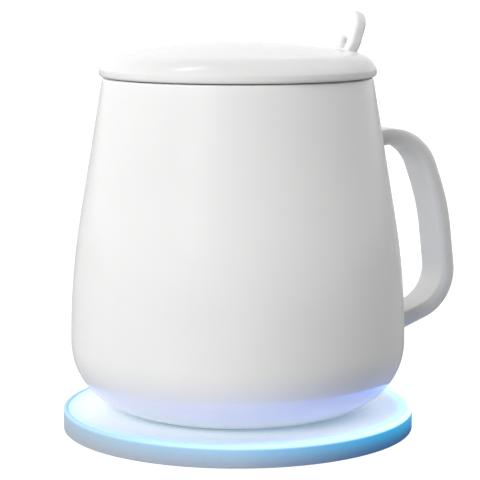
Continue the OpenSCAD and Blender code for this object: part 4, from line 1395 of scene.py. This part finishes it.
def dress_inside():
    """Finishes of the case, of what it holds and of the heating module."""
    # How the grain of some stuffs is stretched
    even, drawn, cast = (1.0, 1.0, 1.0), (1.0, 1.0, 12.0), (6.0, 1.0, 1.0)
    fibrous, long = (1.0, 5.0, 1.0), (1.0, 1.0, 0.2)
    # Nodes, name, light and dark tone, scale, roughness, bump, and for some the stretch and the metal share
    finishes = [
        (["lower_case"],
         "grey_case_plastic", (0.60, 0.61, 0.62), (0.54, 0.55, 0.56), 800.0, (0.42, 0.58), 0.15),
        (["case_screws", "usb_shell"],
         "brushed_steel", (0.62, 0.62, 0.61), (0.48, 0.48, 0.48), 500.0, (0.22, 0.40), 0.1, drawn, 1.0),
        (["charger_board", "receiver_board"],
         "green_board", (0.02, 0.16, 0.05), (0.012, 0.10, 0.035), 350.0, (0.30, 0.45), 0.15),
        (["charger_chips", "receiver_chips", "usb_tongue"],
         "black_chip", (0.022, 0.022, 0.024), (0.012, 0.012, 0.013), 2200.0, (0.5, 0.7), 0.2),
        (["tuning_capacitors"],
         "tan_capacitor", (0.46, 0.31, 0.18), (0.36, 0.23, 0.13), 1500.0, (0.35, 0.5), 0.1),
        (["coil_spacer"],
         "grey_foam", (0.52, 0.52, 0.50), (0.36, 0.36, 0.35), 1800.0, (0.85, 0.98), 0.8),
        (["transmitter_ferrite", "receiver_ferrite"],
         "dark_ferrite", (0.035, 0.035, 0.037), (0.018, 0.018, 0.02), 1200.0, (0.45, 0.7), 0.25),
        (["transmitter_coil", "receiver_coil"],
         "enamelled_copper", (0.78, 0.34, 0.14), (0.62, 0.24, 0.09), 420.0, (0.2, 0.34), 0.1, even, 1.0),
        (["heater_plate"],
         "cast_aluminium", (0.72, 0.72, 0.73), (0.58, 0.58, 0.60), 600.0, (0.30, 0.48), 0.2, cast, 1.0),
        (["insulation_pad"],
         "pale_felt", (0.66, 0.62, 0.54), (0.48, 0.45, 0.38), 900.0, (0.88, 1.0), 0.9, fibrous),
        (["thermal_cutout"],
         "cutout_case", (0.24, 0.18, 0.12), (0.17, 0.12, 0.08), 1500.0, (0.4, 0.55), 0.15),
        (["heater_pins"],
         "brass_pins", (0.80, 0.60, 0.27), (0.64, 0.46, 0.19), 900.0, (0.24, 0.38), 0.1, long, 1.0),
        (["cover_gasket"],
         "grey_silicone", (0.30, 0.31, 0.33), (0.24, 0.25, 0.27), 1000.0, (0.6, 0.8), 0.2),
    ]
    for nodes, *look in finishes:
        finish = grain_material(*look)
        for node in nodes:
            dress(node, finish)


# Stage

def mix_shaders(tree, factor, first, second):
    """One node's shader run into another's by a factor."""
    inputs = {0: factor, 1: first.outputs[0], 2: second.outputs[0]}
    return add_node(tree, "ShaderNodeMixShader", None, inputs)


def build_floor():
    """White floor that the camera sees lit from below, and that throws a little light back on the mug."""
    stage = settings().stage
    half, low = 40.0, -0.05 * MM
    mesh = plain_mesh(
        "studio_floor", [(-half, -half, low), (half, -half, low), (half, half, low), (-half, half, low)],
        [(0, 1, 2, 3)])
    floor = scene_object("studio_floor", mesh)
    material = bpy.data.materials.new("light_table")
    material.use_nodes = True
    tree = material.node_tree
    tree.nodes.remove(tree.nodes["Principled BSDF"])
    paper = add_node(tree, "ShaderNodeBsdfDiffuse", None, {"Color": solid(stage.floor_colour)})
    lit = add_node(tree, "ShaderNodeEmission", None, {"Color": WHITE, "Strength": 1.2})
    dull = add_node(tree, "ShaderNodeBsdfDiffuse", None, {"Color": solid([stage.floor_bounce] * 3)})
    shown = mix_shaders(tree, stage.floor_lit, paper, lit)
    seen = add_node(tree, "ShaderNodeLightPath").outputs["Is Camera Ray"]
    either = mix_shaders(tree, seen, dull, shown)
    set_inputs(tree, tree.nodes["Material Output"], {"Surface": either.outputs[0]})
    mesh.materials.append(material)


def build_fill():
    """Even fill light, behind which the camera and the glaze see plain white."""
    world = bpy.data.worlds.new("soft_fill")
    bpy.context.scene.world = world
    world.use_nodes = True
    tree = world.node_tree
    fill = tree.nodes["Background"]
    set_inputs(tree, fill, {"Color": WHITE, "Strength": settings().stage.fill_strength})
    white = add_node(tree, "ShaderNodeBackground", None, {"Color": WHITE, "Strength": 1.0})
    path = add_node(tree, "ShaderNodeLightPath").outputs
    seen = math_node(tree, "MAXIMUM", path["Is Camera Ray"], path["Is Glossy Ray"])
    either = mix_shaders(tree, seen, fill, white)
    set_inputs(tree, tree.nodes["World Output"], {"Surface": either.outputs[0]})


def camera_side():
    """Level direction from the mug's axis to the camera."""
    camera_turn = settings().stage.camera_turn
    return Vector((-math.sin(camera_turn), -math.cos(camera_turn), 0.0))


def light_direction(side, height):
    """Direction of a light, from its angle to the left of the camera and its angle above the floor."""
    towards = camera_side()
    left = Vector((towards.y, -towards.x, 0.0))
    level = towards * math.cos(side) + left * math.sin(side)
    return level * math.cos(height) + Vector((0.0, 0.0, math.sin(height)))


def build_lights():
    """Four soft suns that show in no mirror image, and a strip that shows only as a highlight."""
    stage = settings().stage
    for label in ("key", "left", "right", "back"):
        lamp = bpy.data.lights.new("soft_" + label, "SUN")
        lamp.energy = getattr(stage, label + "_strength")
        lamp.angle = stage.light_size
        source = light_direction(getattr(stage, label + "_side"), getattr(stage, label + "_height"))
        sun = scene_object("soft_" + label, lamp)
        sun.rotation_euler = source.to_track_quat("Z", "Y").to_euler()
        sun.visible_glossy = False

    strip = bpy.data.lights.new("highlight_strip", "AREA")
    strip.shape = "RECTANGLE"
    strip.size = stage.strip_width
    strip.size_y = stage.strip_length
    strip.energy = stage.strip_power
    source = light_direction(stage.strip_side, stage.strip_height)
    glint = scene_object("highlight_strip", strip)
    glint.location = Vector((0.0, 0.0, LID_HIGH.z)) + source * stage.strip_distance
    glint.rotation_euler = source.to_track_quat("Z", "Y").to_euler()
    glint.visible_diffuse = False


def build_camera():
    """Camera that stands where the photo was taken from."""
    stage = settings().stage
    lens = bpy.data.cameras.new("photo_camera")
    lens.sensor_width = 36.0
    lens.lens = stage.lens
    lens.shift_x = stage.shift
    lens.clip_end = 200.0
    camera = scene_object("photo_camera", lens)
    camera.location = camera_side() * stage.camera_distance + Vector((0.0, 0.0, stage.camera_height))
    camera.rotation_euler = (math.radians(90.0) - stage.camera_dip, 0.0, -stage.camera_turn)
    bpy.context.scene.camera = camera
    bpy.context.scene.view_settings.view_transform = "Standard"


# Operators, one for each piece or group of like pieces

class MUG_OT_pad(bpy.types.Operator):
    """Build the anti-slip pad"""

    bl_idname = "heated_mug.pad"
    bl_label = "Anti-slip pad"

    def execute(self, context):
        build_pad()
        return {"FINISHED"}


class MUG_OT_ring(bpy.types.Operator):
    """Build the glowing light ring"""

    bl_idname = "heated_mug.ring"
    bl_label = "Light ring"

    def execute(self, context):
        build_ring()
        return {"FINISHED"}


class MUG_OT_plate(bpy.types.Operator):
    """Build the charging plate and its bosses"""

    bl_idname = "heated_mug.plate"
    bl_label = "Charging plate"

    def execute(self, context):
        build_plate()
        return {"FINISHED"}


class MUG_OT_diodes(bpy.types.Operator):
    """Build the diodes behind the light ring"""

    bl_idname = "heated_mug.diodes"
    bl_label = "Diodes"

    def execute(self, context):
        build_diodes()
        return {"FINISHED"}


class MUG_OT_inside(bpy.types.Operator):
    """Finish the case, the electronics and the heating module"""

    bl_idname = "heated_mug.inside"
    bl_label = "Case and inside pieces"

    def execute(self, context):
        dress_inside()
        return {"FINISHED"}


class MUG_OT_body(bpy.types.Operator):
    """Build the glazed mug and the cover under it"""

    bl_idname = "heated_mug.body"
    bl_label = "Mug and bottom cover"

    def execute(self, context):
        build_mug()
        build_cover()
        return {"FINISHED"}


class MUG_OT_handle(bpy.types.Operator):
    """Build the strap handle"""

    bl_idname = "heated_mug.handle"
    bl_label = "Handle"

    def execute(self, context):
        build_handle()
        return {"FINISHED"}


class MUG_OT_lid(bpy.types.Operator):
    """Build the domed lid"""

    bl_idname = "heated_mug.lid"
    bl_label = "Lid"

    def execute(self, context):
        build_lid()
        return {"FINISHED"}


class MUG_OT_spoon(bpy.types.Operator):
    """Build the spoon"""

    bl_idname = "heated_mug.spoon"
    bl_label = "Spoon"

    def execute(self, context):
        build_spoon()
        return {"FINISHED"}


class MUG_OT_stage(bpy.types.Operator):
    """Set up the floor, the light and the camera"""

    bl_idname = "heated_mug.stage"
    bl_label = "Stage"

    def execute(self, context):
        build_floor()
        build_fill()
        build_lights()
        build_camera()
        return {"FINISHED"}


class MUG_PT_panel(bpy.types.Panel):
    """Settings and building steps of the heated mug"""

    bl_idname = "MUG_PT_panel"
    bl_label = "Heated mug"
    bl_space_type = "VIEW_3D"
    bl_region_type = "UI"
    bl_category = "Heated mug"

    def draw(self, context):
        """Shows the steps, then a box of settings for each part."""
        layout = self.layout
        for operator in OPERATORS:
            layout.operator(operator.bl_idname)
        everything = context.scene.heated_mug
        for part in ("charger", "mug", "handle", "lid", "spoon", "stage"):
            group = getattr(everything, part)
            box = layout.box()
            box.label(text=part.capitalize())
            for name in group.__annotations__:
                box.prop(group, name)


SETTINGS = (
    ChargerSettings, MugSettings, HandleSettings, LidSettings, SpoonSettings, StageSettings,
    HeatedMugSettings,
)
OPERATORS = (
    MUG_OT_stage, MUG_OT_pad, MUG_OT_ring, MUG_OT_plate, MUG_OT_diodes, MUG_OT_inside, MUG_OT_body,
    MUG_OT_handle, MUG_OT_lid, MUG_OT_spoon,
)


def register():
    """Makes the settings, the building steps and the panel known to Blender."""
    for kind in SETTINGS + OPERATORS + (MUG_PT_panel,):
        bpy.utils.register_class(kind)
    bpy.types.Scene.heated_mug = PointerProperty(type=HeatedMugSettings)


def unregister():
    """Takes them all away again."""
    del bpy.types.Scene.heated_mug
    for kind in reversed(SETTINGS + OPERATORS + (MUG_PT_panel,)):
        bpy.utils.unregister_class(kind)


def main():
    """Builds everything."""
    register()
    bpy.ops.heated_mug.stage()
    bpy.ops.heated_mug.pad()
    bpy.ops.heated_mug.ring()
    bpy.ops.heated_mug.plate()
    bpy.ops.heated_mug.diodes()
    bpy.ops.heated_mug.inside()
    bpy.ops.heated_mug.body()
    bpy.ops.heated_mug.handle()
    bpy.ops.heated_mug.lid()
    bpy.ops.heated_mug.spoon()


if __name__ == "__main__":
    main()
